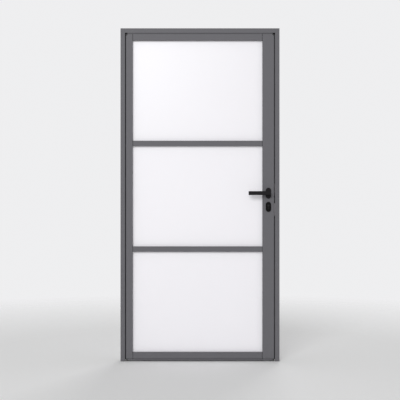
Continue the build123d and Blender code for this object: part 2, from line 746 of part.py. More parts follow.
def sweep_carrier():
    """The strip under the bottom rail, slotted below for its brush."""
    height = SWEEP_HEIGHT
    middle = (GLASS_FRONT + GLASS_BACK) / 2
    mouth = BRUSH_THICKNESS / 2
    foot = BRUSH_FOOT / 2
    section = area(0, height - SHADOW_LINE, 0, FRAME_DEPTH)
    section += area(0, height, STOP_DEPTH / 2, FRAME_DEPTH)
    section -= area(WALL, height - SHADOW_LINE - WALL, WALL, middle - foot - WALL)
    section -= area(WALL, height - WALL, middle + foot + WALL, FRAME_DEPTH - WALL)
    section -= area(0, WALL + BRUSH_FOOT_HEIGHT, middle - mouth, middle + mouth)
    section -= area(WALL, WALL + BRUSH_FOOT_HEIGHT, middle - foot, middle + foot)
    return cope(level(section, -1, FLOOR_GAP, TUBE_LEFT, TUBE_RIGHT))


def sweep_brush():
    """The brush in the carrier's slot: a foot and a dense row of bristles."""
    middle = (GLASS_FRONT + GLASS_BACK) / 2
    mouth = BRUSH_THICKNESS / 2 - FIT
    foot = BRUSH_FOOT / 2 - FIT
    section = area(BRUSH_GAP - FLOOR_GAP, WALL + FIT, middle - mouth, middle + mouth)
    section += area(WALL + FIT, WALL + BRUSH_FOOT_HEIGHT - FIT, middle - foot, middle + foot)
    return level(section, -1, FLOOR_GAP, TUBE_LEFT, TUBE_RIGHT)


# Glazing

def ring(pane, outward, inward, front, back):
    """A rectangular ring round a pane, between two distances outside its sight line."""
    outer = pane_block(pane, outward, front, back)
    return outer - pane_block(pane, inward, front - 1, back + 1)


def pane_block(pane, outward, front, back):
    """A block that covers a pane's sight size and reaches a distance outside it."""
    low = PANE_LOWS[pane]
    x = (SIGHT_LEFT - outward, SIGHT_RIGHT + outward)
    return block(x, (depth(front), depth(back)), (low - outward, low + PANE_HEIGHT + outward))


def glass(pane):
    """One pane of glass."""
    return pane_block(pane, EDGE_COVER, GLASS_FRONT, GLASS_BACK)


def gaskets(front, back):
    """The gaskets of the three panes on one side of the glass."""
    return group(ring(pane, GASKET_COVER, GASKET_INSET, front, back) for pane in range(3))


def bead_section():
    """Hollow snap-in bead with the nib that holds it in the frame."""
    section = area(0, STOP_WIDTH, BEAD_FRONT, FRAME_DEPTH)
    section -= area(BEAD_WALL, STOP_WIDTH - BEAD_WALL, BEAD_FRONT + BEAD_WALL, FRAME_DEPTH - BEAD_WALL)
    return section + area(-NIB_HEIGHT, 0, NIB_DEPTH + FIT, NIB_DEPTH + NIB_WIDTH - FIT)


def pane_beads(pane):
    """The four beads behind a pane: two level ones and two between them."""
    section = bead_section()
    low = PANE_LOWS[pane] - STOP_WIDTH
    high = PANE_LOWS[pane] + PANE_HEIGHT + STOP_WIDTH
    solids = [level(section, -1, low, TUBE_LEFT, TUBE_RIGHT), level(section, 1, high, TUBE_LEFT, TUBE_RIGHT)]
    solids.append(upright(section, -1, -TUBE_LEFT, low + STOP_WIDTH, high - STOP_WIDTH))
    solids.append(upright(section, 1, TUBE_RIGHT, low + STOP_WIDTH, high - STOP_WIDTH))
    return solids


def glazing_beads():
    """The beads of all three panes."""
    return group(bead for pane in range(3) for bead in pane_beads(pane))


def setting_blocks():
    """The blocks that carry each pane on the rail or bar below it."""
    span = SIGHT_RIGHT - SIGHT_LEFT
    y = (depth(GLASS_FRONT), depth(GLASS_BACK))
    solids = []
    for low in PANE_LOWS:
        for quarter in (1, 3):
            middle = SIGHT_LEFT + span * quarter / 4
            x = (middle - BLOCK_LENGTH / 2, middle + BLOCK_LENGTH / 2)
            solids.append(block(x, y, (low - STOP_WIDTH, low - EDGE_COVER)))
    return group(solids)


# Hinges

def frame_knuckle_heights(z):
    """Lower ends of the two knuckles on the frame's side of a hinge."""
    return (z - HINGE_HALF, z + HINGE_HALF - FRAME_KNUCKLE)


def hinge_frame_plate(z):
    """The half of a hinge on the jamb, with the outer two knuckles."""
    outer = -FRAME_HALF + FRAME_PLATE_MARGIN
    y = (BACK, BACK + HINGE_PLATE)
    relief = HINGE_X - KNUCKLE_RADIUS - KNUCKLE_CLEARANCE
    plate = block((outer, HINGE_X), y, (z - HINGE_HALF, z + HINGE_HALF))
    inner = HINGE_HALF - FRAME_KNUCKLE
    plate -= block((relief, HINGE_X + 1), (BACK, BACK + HINGE_PLATE + 1), (z - inner, z + inner))
    for low in frame_knuckle_heights(z):
        plate += rod(KNUCKLE_RADIUS, (HINGE_X, HINGE_Y, low), UP, FRAME_KNUCKLE)
        plate -= rod(PIN_RADIUS + SCREW_FIT, (HINGE_X, HINGE_Y, low), UP, FRAME_KNUCKLE)
    for x, height in hinge_screw_places(z)[0]:
        plate -= hinge_screw(x, height, SCREW_FIT)
    return plate


def hinge_leaf_plate(z):
    """The half of a hinge on the leaf, with the middle knuckle."""
    half = LEAF_KNUCKLE / 2
    y = (BACK, BACK + HINGE_PLATE)
    relief = HINGE_X + KNUCKLE_RADIUS + KNUCKLE_CLEARANCE
    reach = HINGE_X + LEAF_PLATE_REACH
    plate = block((relief, reach), y, (z - HINGE_HALF, z + HINGE_HALF))
    plate += block((HINGE_X, reach), y, (z - half, z + half))
    start = (HINGE_X, HINGE_Y, z - half)
    bore = PIN_RADIUS + RUNNING_FIT + BUSH_WALL + SCREW_FIT
    plate += rod(KNUCKLE_RADIUS, start, UP, LEAF_KNUCKLE)
    plate -= rod(bore, start, UP, LEAF_KNUCKLE)
    for x, height in hinge_screw_places(z)[1]:
        plate -= hinge_screw(x, height, SCREW_FIT)
    return plate


def hinge_bushes():
    """Flanged bushes in both ends of each leaf knuckle."""
    solids = []
    for z in HINGE_PLACES:
        for sign, direction in ((-1, UP), (1, DOWN)):
            end = z + sign * LEAF_KNUCKLE / 2
            tip = (HINGE_X, HINGE_Y, end + sign * BUSH_FLANGE)
            length = LEAF_KNUCKLE * BUSH_SHARE
            bush = rod(PIN_RADIUS + RUNNING_FIT + BUSH_WALL, tip, direction, length)
            bush += rod(KNUCKLE_RADIUS, tip, direction, BUSH_FLANGE)
            bush -= rod(PIN_RADIUS + RUNNING_FIT, tip, direction, length)
            solids.append(bush)
    return group(solids)


def hinge_pins():
    """The hinge pins, each with a low head on its upper end."""
    solids = []
    for z in HINGE_PLACES:
        low = (HINGE_X, HINGE_Y, z - HINGE_HALF)
        top = (HINGE_X, HINGE_Y, z + HINGE_HALF)
        head = rod(PIN_RADIUS + PIN_HEAD_LAP, top, UP, PIN_HEAD_HEIGHT)
        solids.append(rod(PIN_RADIUS, low, UP, 2 * HINGE_HALF) + head)
    return group(solids)


def hinge_screw(x, z, gap=0.0):
    """One screw of a hinge plate, or its hole."""
    seat = (x, BACK + HINGE_PLATE, z)
    return sunk_screw(seat, FRONTWARD, HINGE_SCREW_RADIUS, HINGE_SCREW_HEAD, HINGE_SCREW_LENGTH, gap)


def hinge_screws(which):
    """All hinge screws in the frame (0) or in the leaf (1)."""
    return group(hinge_screw(x, z) for height in HINGE_PLACES for x, z in hinge_screw_places(height)[which])


# Lock

def case_x(distance):
    """X of a distance back from the lock case's front edge."""
    return LEAF_HALF - FOREND_THICKNESS - distance


def case_post(place, radius, length, gap=0.0):
    """A post or screw across the case at a place given back and up from its lower front corner."""
    back, rise = place
    start = (case_x(back), LOCK_Y - CASE_THICKNESS / 2, CASE_LOW + rise)
    return rod(radius + gap, start, REARWARD, length)


def lock_case():
    """The pressed tray of the lock, with the posts that carry its cover."""
    half = CASE_THICKNESS / 2
    x = (case_x(0), case_x(CASE_LENGTH))
    y = (LOCK_Y - half, LOCK_Y + half - CASE_WALL)
    body = block(x, y, (CASE_LOW, CASE_HIGH))
    inner_x = (case_x(CASE_WALL), case_x(CASE_LENGTH - CASE_WALL))
    inner_z = (CASE_LOW + CASE_WALL, CASE_HIGH - CASE_WALL)
    body -= block(inner_x, (LOCK_Y - half + CASE_WALL, LOCK_Y + half), inner_z)
    for place in CASE_POSTS:
        body += case_post(place, POST_RADIUS, CASE_THICKNESS - CASE_WALL)
        body -= case_post(place, CASE_SCREW_RADIUS, CASE_THICKNESS, SCREW_FIT)
    body -= latch_opening() + deadbolt_opening()
    return case_openings(body)


def case_openings(body):
    """A wall of the case with its follower and cylinder openings."""
    half = CASE_THICKNESS / 2
    start = (SPINDLE_X, LOCK_Y - half, LEVER_HEIGHT)
    body -= rod(FOLLOWER_JOURNAL + RUNNING_FIT, start, REARWARD, CASE_THICKNESS)
    body -= cylinder_prism(LOCK_Y - half, LOCK_Y + half, CYLINDER_CLEARANCE)
    seat = (LEAF_HALF, LOCK_Y, CYLINDER_SCREW_Z)
    return body - rod(CYLINDER_SCREW_RADIUS + SCREW_FIT, seat, LEFT, FOREND_THICKNESS + 2 * CASE_WALL)


def lock_cover():
    """The flat cover of the lock case."""
    half = CASE_THICKNESS / 2
    x = (case_x(0), case_x(CASE_LENGTH))
    body = block(x, (LOCK_Y + half - CASE_WALL, LOCK_Y + half), (CASE_LOW, CASE_HIGH))
    for place in CASE_POSTS:
        body -= case_post(place, CASE_SCREW_RADIUS, CASE_THICKNESS, SCREW_FIT)
    return case_openings(body)


def lock_screws():
    """The screws of the lock's cover and forend, and the long one into the cylinder."""
    solids = [forend_screw(z) for z in forend_screw_heights()]
    solids.append(cylinder_screw())
    for back, rise in CASE_POSTS:
        seat = (case_x(back), LOCK_Y + CASE_THICKNESS / 2, CASE_LOW + rise)
        solids.append(pan_screw(seat, FRONTWARD, CASE_SCREW_RADIUS, CASE_THICKNESS - CASE_WALL))
    return group(solids)


def bolt_opening(z, height, thickness):
    """The way of a bolt through the case's front wall and the forend."""
    tall = height / 2 + BOLT_CLEARANCE
    deep = thickness / 2 + BOLT_CLEARANCE
    x = (LEAF_HALF, case_x(CASE_WALL))
    return block(x, (LOCK_Y - deep, LOCK_Y + deep), (z - tall, z + tall))


def latch_opening():
    """The latch bolt's way out of the lock."""
    return bolt_opening(LATCH_Z, LATCH_HEIGHT, LATCH_THICKNESS)


def deadbolt_opening():
    """The deadbolt's way out of the lock."""
    return bolt_opening(DEADBOLT_Z, DEADBOLT_HEIGHT, DEADBOLT_THICKNESS)


def forend_screw_heights():
    """Heights of the forend's screws."""
    return [FOREND_LOW + FOREND_SCREW_INSET, FOREND_HIGH - FOREND_SCREW_INSET]


def forend_screw(z, gap=0.0):
    """One screw of the forend, or its hole."""
    seat = (LEAF_HALF, LOCK_Y, z)
    return sunk_screw(seat, LEFT, FOREND_SCREW_RADIUS, FOREND_SCREW_HEAD, FOREND_SCREW_LENGTH, gap)


def cylinder_screw(gap=0.0):
    """The long screw through the forend that holds the cylinder, or its hole."""
    seat = (LEAF_HALF, LOCK_Y, CYLINDER_SCREW_Z)
    return sunk_screw(seat, LEFT, CYLINDER_SCREW_RADIUS, CYLINDER_SCREW_HEAD, BACKSET + 4.0, gap)


def forend():
    """The lock's face plate in the groove of the stile."""
    half = FOREND_WIDTH / 2
    x = (LEAF_HALF, LEAF_HALF - FOREND_THICKNESS)
    body = block(x, (LOCK_Y - half, LOCK_Y + half), (FOREND_LOW, FOREND_HIGH))
    body -= latch_opening() + deadbolt_opening()
    for z in forend_screw_heights():
        body -= forend_screw(z, SCREW_FIT)
    return body - cylinder_screw(SCREW_FIT)


def arm_side_x(z):
    """X of the follower arm's rear side at a height, with the lever at rest."""
    lean = radians(FOLLOWER_LEAN)
    return SPINDLE_X + (z - LEVER_HEIGHT) * tan(lean) - FOLLOWER_ARM_WIDTH / 2 / cos(lean)


def latch_bolt():
    """The latch: a head bevelled on its front side, a tail and the hook that the arm draws back."""
    tip = LEAF_HALF + LATCH_THROW
    half = LATCH_THICKNESS / 2
    inner = tip - LATCH_HEAD
    outline = Polyline(
        (inner, LOCK_Y - half),
        (LEAF_HALF + 1, LOCK_Y - half),
        (tip, LOCK_Y + half - WALL),
        (tip, LOCK_Y + half),
        (inner, LOCK_Y + half),
        close=True,
    )
    low = LATCH_Z - LATCH_HEIGHT / 2
    head = Pos(0, 0, low) * extrude(make_face(outline), amount=LATCH_HEIGHT)
    deep = LATCH_TAIL_THICKNESS / 2
    y = (LOCK_Y - deep, LOCK_Y + deep)
    tail_low = LATCH_Z - LATCH_TAIL_HEIGHT / 2
    hook_low = tail_low - LATCH_HOOK_DROP
    hook_front = arm_side_x(hook_low) - ARM_GAP
    hook_back = hook_front - LATCH_HOOK
    tail = block((inner, hook_back), y, (tail_low, LATCH_Z + LATCH_TAIL_HEIGHT / 2))
    hook = block((hook_front, hook_back), y, (hook_low, tail_low))
    return head + tail + hook


def follower():
    """The lever's follower: a hub on two journals with a square bore and one arm."""
    half = CASE_THICKNESS / 2
    start = (SPINDLE_X, LOCK_Y - half, LEVER_HEIGHT)
    body = rod(FOLLOWER_JOURNAL, start, REARWARD, CASE_THICKNESS)
    inside = half - CASE_WALL - FIT
    body += rod(FOLLOWER_HUB, (SPINDLE_X, LOCK_Y - inside, LEVER_HEIGHT), REARWARD, 2 * inside)
    wide = FOLLOWER_ARM_WIDTH / 2
    deep = FOLLOWER_ARM_THICKNESS / 2
    arm = Box(2 * wide, 2 * deep, FOLLOWER_ARM, align=BASE)
    body += Pos(SPINDLE_X, LOCK_Y, LEVER_HEIGHT) * Rot(0, FOLLOWER_LEAN, 0) * arm
    side = SPINDLE_SIDE / 2 + SCREW_FIT
    x = (SPINDLE_X - side, SPINDLE_X + side)
    z = (LEVER_HEIGHT - side, LEVER_HEIGHT + side)
    return body - block(x, (LOCK_Y - half, LOCK_Y + half), z)


def deadbolt():
    """The deadbolt, drawn back flush with the forend."""
    half = DEADBOLT_THICKNESS / 2
    tall = DEADBOLT_HEIGHT / 2
    body = block(
        (LEAF_HALF, LEAF_HALF - DEADBOLT_LENGTH),
        (LOCK_Y - half, LOCK_Y + half),
        (DEADBOLT_Z - tall, DEADBOLT_Z + tall),
    )
    return chamfer(body.faces().sort_by(Axis.X)[-1].edges(), DEADBOLT_CHAMFER)


# Profile cylinder

def profile(gap=0.0):
    """The cylinder's outline about its core: a round head and a round-ended leg."""
    leg = Pos(0, -CYLINDER_LEG / 2) * Rectangle(CYLINDER_WEB + 2 * gap, CYLINDER_LEG)
    foot = Pos(0, -CYLINDER_LEG) * Circle(CYLINDER_WEB / 2 + gap)
    return Circle(CYLINDER_RADIUS + gap) + leg + foot


def cylinder_prism(near, far, gap=0.0):
    """The cylinder's outline between two depths."""
    plane = Plane(origin=(SPINDLE_X, near, CYLINDER_Z), x_dir=RIGHT, z_dir=FRONTWARD)
    return plane * extrude(profile(gap), amount=near - far)


def cylinder_ends():
    """Y of the cylinder's front and rear faces."""
    proud = ROSE_DEPTH + CYLINDER_PROUD
    return FRONT - proud, BACK + proud


def cylinder_body():
    """The cylinder body, bored for the plugs and cut away round the cam."""
    near, far = cylinder_ends()
    body = cylinder_prism(near, far)
    body -= rod(PLUG_RADIUS + RUNNING_FIT, (SPINDLE_X, near, CYLINDER_Z), REARWARD, far - near)
    half = CAM_SLOT / 2
    wide = CYLINDER_RADIUS + 1
    x = (SPINDLE_X - wide, SPINDLE_X + wide)
    z = (CYLINDER_Z - CAM_RADIUS - CAM_CLEARANCE, CYLINDER_Z + wide)
    body -= block(x, (LOCK_Y - half, LOCK_Y + half), z)
    return body - cylinder_screw(SCREW_FIT)


def plug(front):
    """The turning plug on one side of the cam, with its keyway."""
    near, far = cylinder_ends()
    half = CAM_SLOT / 2
    start, inner = (near, LOCK_Y - half) if front else (far, LOCK_Y + half)
    direction = REARWARD if front else FRONTWARD
    body = rod(PLUG_RADIUS, (SPINDLE_X, start, CYLINDER_Z), direction, abs(inner - start))
    wide = KEYWAY_WIDTH / 2
    end = start + KEYWAY_DEPTH if front else start - KEYWAY_DEPTH
    x = (SPINDLE_X - wide, SPINDLE_X + wide)
    high = CYLINDER_Z + KEYWAY_RISE
    return body - block(x, (start, end), (high - KEYWAY_HEIGHT, high))


def cylinder_cam():
    """The cam between the plugs, with its single tooth pointing down."""
    half = CAM_SLOT / 2 - FIT
    hub = rod(CYLINDER_RADIUS - FIT, (SPINDLE_X, LOCK_Y - half, CYLINDER_Z), REARWARD, 2 * half)
    wide = CAM_TIP / 2
    tooth = block(
        (SPINDLE_X - wide, SPINDLE_X + wide),
        (LOCK_Y - half, LOCK_Y + half),
        (CYLINDER_Z, CYLINDER_Z - CAM_RADIUS),
    )
    rim = rod(CAM_RADIUS, (SPINDLE_X, LOCK_Y - half, CYLINDER_Z), REARWARD, 2 * half)
    return hub + (tooth & rim)


# Lever handles, rosettes and escutcheons

def stadium(width, height):
    """An upright outline with round ends."""
    return SlotOverall(height, width, rotation=90)


def furniture_places():
    """Height and outline height of the rosette and the escutcheon."""
    return ((LEVER_HEIGHT, ROSE_HEIGHT), (ESCUTCHEON_Z, ESCUTCHEON_HEIGHT))


def cover(side, z, height):
    """A hollow cover plate on one face, before its opening is cut."""
    plane = face_plane(side, SPINDLE_X, z)
    shell = extrude(stadium(ROSE_WIDTH, height), amount=ROSE_DEPTH)
    shell = fillet(shell.faces().sort_by(Axis.Z)[-1].edges(), ROSE_ROUND)
    inner = stadium(ROSE_WIDTH - 2 * ROSE_WALL, height - 2 * ROSE_WALL)
    shell -= extrude(inner, amount=ROSE_DEPTH - ROSE_WALL)
    return plane * shell


def rosette(side):
    """The cover round the lever's neck."""
    hole = rod(NECK_RADIUS + NECK_CLEARANCE, (SPINDLE_X, 0, LEVER_HEIGHT), (0, side, 0), FRAME_DEPTH)
    return cover(side, LEVER_HEIGHT, ROSE_HEIGHT) - hole


def escutcheon(side):
    """The cover round the cylinder."""
    near, far = cylinder_ends()
    return cover(side, ESCUTCHEON_Z, ESCUTCHEON_HEIGHT) - cylinder_prism(near, far, FIT)


def rose_bases():
    """The base plates under the four covers, screwed to the stile."""
    solids = []
    near, far = cylinder_ends()
    for side in (-1, 1):
        for z, height in furniture_places():
            gap = 2 * (ROSE_WALL + FIT)
            plate = extrude(stadium(ROSE_WIDTH - gap, height - gap), amount=ROSE_BASE_DEPTH)
            body = face_plane(side, SPINDLE_X, z) * plate
            if z == LEVER_HEIGHT:
                start = (SPINDLE_X, 0, LEVER_HEIGHT)
                body -= rod(NECK_RADIUS + NECK_CLEARANCE, start, (0, side, 0), FRAME_DEPTH)
            else:
                body -= cylinder_prism(near, far, FIT)
            for seat in furniture_screw_seats(side):
                body -= furniture_screw(side, seat, SCREW_FIT)
            solids.append(body)
    return group(solids)


def furniture_screw_seats(side):
    """Seats of the base plates' screws on one face."""
    y = side * (BACK + ROSE_BASE_DEPTH)
    heights = [LEVER_HEIGHT + sign * ROSE_SCREW_SPREAD for sign in (-1, 1)]
    heights += [ESCUTCHEON_Z + ESCUTCHEON_SCREW_HIGH, ESCUTCHEON_Z - ESCUTCHEON_SCREW_LOW]
    return [(SPINDLE_X, y, z) for z in heights]


def furniture_screw(side, seat, gap=0.0):
    """One screw of a base plate, or its hole."""
    inwards = (0, -side, 0)
    return sunk_screw(seat, inwards, FURNITURE_SCREW_RADIUS, FURNITURE_SCREW_HEAD, FURNITURE_SCREW_LENGTH, gap)


def furniture_screws():
    """The screws of the four base plates."""
    return group(furniture_screw(side, seat) for side in (-1, 1) for seat in furniture_screw_seats(side))


def lever(side):
    """A lever handle: a round neck and a flat, even grip that points to the hinges."""
    face = side * BACK
    inner = face + side * NECK_CLEARANCE
    near = face + side * GRIP_STANDOFF
    far = near + side * GRIP_THICKNESS
    half = GRIP_HEIGHT / 2
    x = (SPINDLE_X - LEVER_REACH, SPINDLE_X + GRIP_TAIL)
    grip = block(x, (near, far), (LEVER_HEIGHT - half, LEVER_HEIGHT + half))
    grip = fillet(grip.edges(), GRIP_ROUND)
    start = (SPINDLE_X, inner, LEVER_HEIGHT)
    neck = rod(NECK_RADIUS, start, (0, side, 0), abs(near - inner) + GRIP_THICKNESS / 2)
    body = grip + neck
    square = SPINDLE_SIDE / 2 + SCREW_FIT
    end = face + side * SPINDLE_SOCKET
    x = (SPINDLE_X - square, SPINDLE_X + square)
    body -= block(x, (inner, end), (LEVER_HEIGHT - square, LEVER_HEIGHT + square))
    hole = (SPINDLE_X, face + side * GRUB_PLACE, LEVER_HEIGHT - NECK_RADIUS - 1)
    return body - rod(GRUB_RADIUS + SCREW_FIT, hole, UP, NECK_RADIUS)


def spindle():
    """The square spindle that joins both levers through the follower."""
    half = SPINDLE_SIDE / 2
    end = BACK + SPINDLE_SOCKET - 1
    x = (SPINDLE_X - half, SPINDLE_X + half)
    return block(x, (-end, end), (LEVER_HEIGHT - half, LEVER_HEIGHT + half))


def grub_screws():
    """The grub screws that hold the levers on the spindle."""
    top = LEVER_HEIGHT - SPINDLE_SIDE / 2
    length = NECK_RADIUS - SPINDLE_SIDE / 2 - 0.5
    return group(
        rod(GRUB_RADIUS, (SPINDLE_X, side * (BACK + GRUB_PLACE), top), DOWN, length)
        for side in (-1, 1)
    )


# Every node by its name

def nodes():
    """All nodes of the door and its frame."""
    made = {
        "left_jamb": left_jamb(),
        "right_jamb": right_jamb(),
        "frame_head": frame_head(),
        "head_spigots": head_spigots(),
        "head_screws": head_screws(),
        "frame_seal": frame_seal(),
        "fixing_caps": fixing_caps(),
        "strike_plate": strike_plate(),
        "strike_screws": group(strike_screw(z) for z in strike_screw_heights()),
        "dust_box": dust_box(),
        "hinge_stile": hinge_stile(),
        "lock_stile": lock_stile(),
        "top_rail": top_rail(),
        "bottom_rail": bottom_rail(),
        "lower_bar": glazing_bar(1),
        "upper_bar": glazing_bar(2),
        "rail_spigots": rail_spigots(),
        "rail_screws": rail_screws(),
        "stile_caps": stile_caps(),
        "sweep_carrier": sweep_carrier(),
        "sweep_brush": sweep_brush(),
        "front_gaskets": gaskets(STOP_DEPTH, GLASS_FRONT),
        "rear_gaskets": gaskets(GLASS_BACK, BEAD_FRONT),
        "glazing_beads": glazing_beads(),
        "setting_blocks": setting_blocks(),
        "hinge_pins": hinge_pins(),
        "hinge_bushes": hinge_bushes(),
        "frame_hinge_screws": hinge_screws(0),
        "leaf_hinge_screws": hinge_screws(1),
        "lock_case": lock_case(),
        "lock_cover": lock_cover(),
        "forend": forend(),
        "lock_screws": lock_screws(),
        "cylinder_body": cylinder_body(),
        "front_plug": plug(front=True),
        "rear_plug": plug(front=False),
        "cylinder_cam": cylinder_cam(),
        "deadbolt": deadbolt(),
        "latch_bolt": latch_bolt(),
        "follower": follower(),
        "spindle": spindle(),
        "front_lever": lever(-1),
        "rear_lever": lever(1),
        "grub_screws": grub_screws(),
        "front_rosette": rosette(-1),
        "rear_rosette": rosette(1),
        "front_escutcheon": escutcheon(-1),
        "rear_escutcheon": escutcheon(1),
        "rose_bases": rose_bases(),
        "furniture_screws": furniture_screws(),
    }
    for index, name in enumerate(PANE_NAMES):
        made[f"{name}_glass"] = glass(index)
    for name, z in zip(HINGE_NAMES, HINGE_PLACES):
        made[f"{name}_frame_knuckles"] = hinge_frame_plate(z)
        made[f"{name}_leaf_knuckle"] = hinge_leaf_plate(z)
    return made


for name, shape in nodes().items():
    export_step(shape, f"parts/{name}.step")
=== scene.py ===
"""A glazed aluminium door with its lock, hinges and frame, dressed over its solids.

Every length is in metres. X runs to the right seen from the front, Y from the
front to the back and Z up from the floor.
"""

import logging
import math
from dataclasses import dataclass
from enum import Enum
from functools import cache, reduce

import bmesh
import bpy
from mathutils import Matrix, Vector


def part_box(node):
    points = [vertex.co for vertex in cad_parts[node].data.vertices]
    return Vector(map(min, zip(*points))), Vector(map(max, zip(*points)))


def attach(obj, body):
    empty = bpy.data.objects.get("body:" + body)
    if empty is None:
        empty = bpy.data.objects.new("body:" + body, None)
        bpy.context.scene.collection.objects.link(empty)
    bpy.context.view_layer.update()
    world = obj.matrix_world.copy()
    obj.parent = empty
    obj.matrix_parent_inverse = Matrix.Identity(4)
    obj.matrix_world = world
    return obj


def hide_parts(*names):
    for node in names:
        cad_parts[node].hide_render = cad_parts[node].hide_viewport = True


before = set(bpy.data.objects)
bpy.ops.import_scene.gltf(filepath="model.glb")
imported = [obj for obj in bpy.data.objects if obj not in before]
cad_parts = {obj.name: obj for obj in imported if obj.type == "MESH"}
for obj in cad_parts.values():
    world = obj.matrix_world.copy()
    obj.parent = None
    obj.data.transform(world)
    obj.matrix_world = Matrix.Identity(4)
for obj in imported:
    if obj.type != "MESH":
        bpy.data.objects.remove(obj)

LOG = logging.getLogger("door")

# Corners of a solid's triangles that lie closer than this are one corner.
MERGE = 1e-6
# Triangles that meet at less than this angle are parts of one face.
FLAT = math.radians(0.1)
# Faces that meet at more than this angle have an edge between them, which is rounded.
SHARP = math.radians(30)

Colour = tuple[float, float, float]
Point = tuple[float, float, float]
Box = tuple[Point, Point]
Material = bpy.types.Material
Mesh = bpy.types.Mesh
Socket = bpy.types.NodeSocket


def shade(red: float, green: float, blue: float) -> Colour:
    """A colour given on the 0 to 255 scale of a screen, as linear light.

    Args:
        red: Red on the screen.
        green: Green on the screen.
        blue: Blue on the screen.

    Returns:
        The three linear values.
    """
    linear = []
    for level in (red, green, blue):
        share = level / 255
        linear.append(((share + 0.055) / 1.055) ** 2.4 if level > 10 else share / 12.92)
    return tuple(linear)


def scaled(colour: Colour, factor: float) -> Colour:
    """A colour made darker or lighter by a factor."""
    return tuple(min(1.0, value * factor) for value in colour)


class Face(Enum):
    """A face of the leaf, with the word that its nodes' names start with."""

    FRONT = "front"
    BACK = "rear"


class Streak(Enum):
    """The way that the marks of a drawn or brushed metal run, as a stretch along each axis."""

    LEVEL = (0.02, 1.0, 1.0)
    UPRIGHT = (1.0, 1.0, 0.02)
    ACROSS = (1.0, 0.02, 1.0)


class Nodes:
    """A node tree, and the one way that nodes come into it."""

    def __init__(self, tree: bpy.types.NodeTree) -> None:
        """Wraps the tree."""
        self.tree = tree

    def add(
        self, kind: str, settings: dict | None = None, inputs: dict | None = None
    ) -> bpy.types.Node:
        """One node with its settings and its inputs.

        Args:
            kind: The node's type.
            settings: Its properties, set first.
            inputs: Values or links of its sockets, by name or number.

        Returns:
            The node.
        """
        node = self.tree.nodes.new(kind)
        for key, value in (settings or {}).items():
            setattr(node, key, value)
        for key, value in (inputs or {}).items():
            value = value.socket if isinstance(value, Wave) else value
            if isinstance(value, Socket):
                self.tree.links.new(value, node.inputs[key])
            elif node.inputs[key].type == "RGBA":
                node.inputs[key].default_value = (*value, 1.0)
            else:
                node.inputs[key].default_value = value
        return node


class Wave:
    """A number that varies from place to place, which can be used in plain sums."""

    def __init__(self, owner: Nodes, socket: Socket) -> None:
        """Wraps the socket that gives the number."""
        self.owner = owner
        self.socket = socket

    def _sum(self, operation: str, first: "Wave | float", second: "Wave | float") -> "Wave":
        """One Math node between two numbers.

        Args:
            operation: The Math node's operation.
            first: The first number.
            second: The second number.

        Returns:
            The result.
        """
        node = self.owner.add("ShaderNodeMath", {"operation": operation}, {0: first, 1: second})
        return Wave(self.owner, node.outputs[0])

    def __add__(self, other: "Wave | float") -> "Wave":
        """This number plus another."""
        return self._sum("ADD", self, other)

    def __radd__(self, other: float) -> "Wave":
        """Another number plus this one."""
        return self._sum("ADD", other, self)

    def __sub__(self, other: "Wave | float") -> "Wave":
        """This number less another."""
        return self._sum("SUBTRACT", self, other)

    def __rsub__(self, other: float) -> "Wave":
        """Another number less this one."""
        return self._sum("SUBTRACT", other, self)

    def __mul__(self, other: "Wave | float") -> "Wave":
        """This number times another."""
        return self._sum("MULTIPLY", self, other)

    def __rmul__(self, other: float) -> "Wave":
        """Another number times this one."""
        return self._sum("MULTIPLY", other, self)

    def either(self, other: "Wave") -> "Wave":
        """The greater of this number and another."""
        return self._sum("MAXIMUM", self, other)

    def over(self, threshold: float, softness: float) -> "Wave":
        """How far this number lies above a threshold, from 0 to 1.

        Args:
            threshold: Where the rise starts.
            softness: How long the rise is.

        Returns:
            The share, held between 0 and 1.
        """
        inputs = {0: self, 1: threshold, 2: threshold + softness}
        node = self.owner.add("ShaderNodeMapRange", {"clamp": True}, inputs)
        return Wave(self.owner, node.outputs[0])


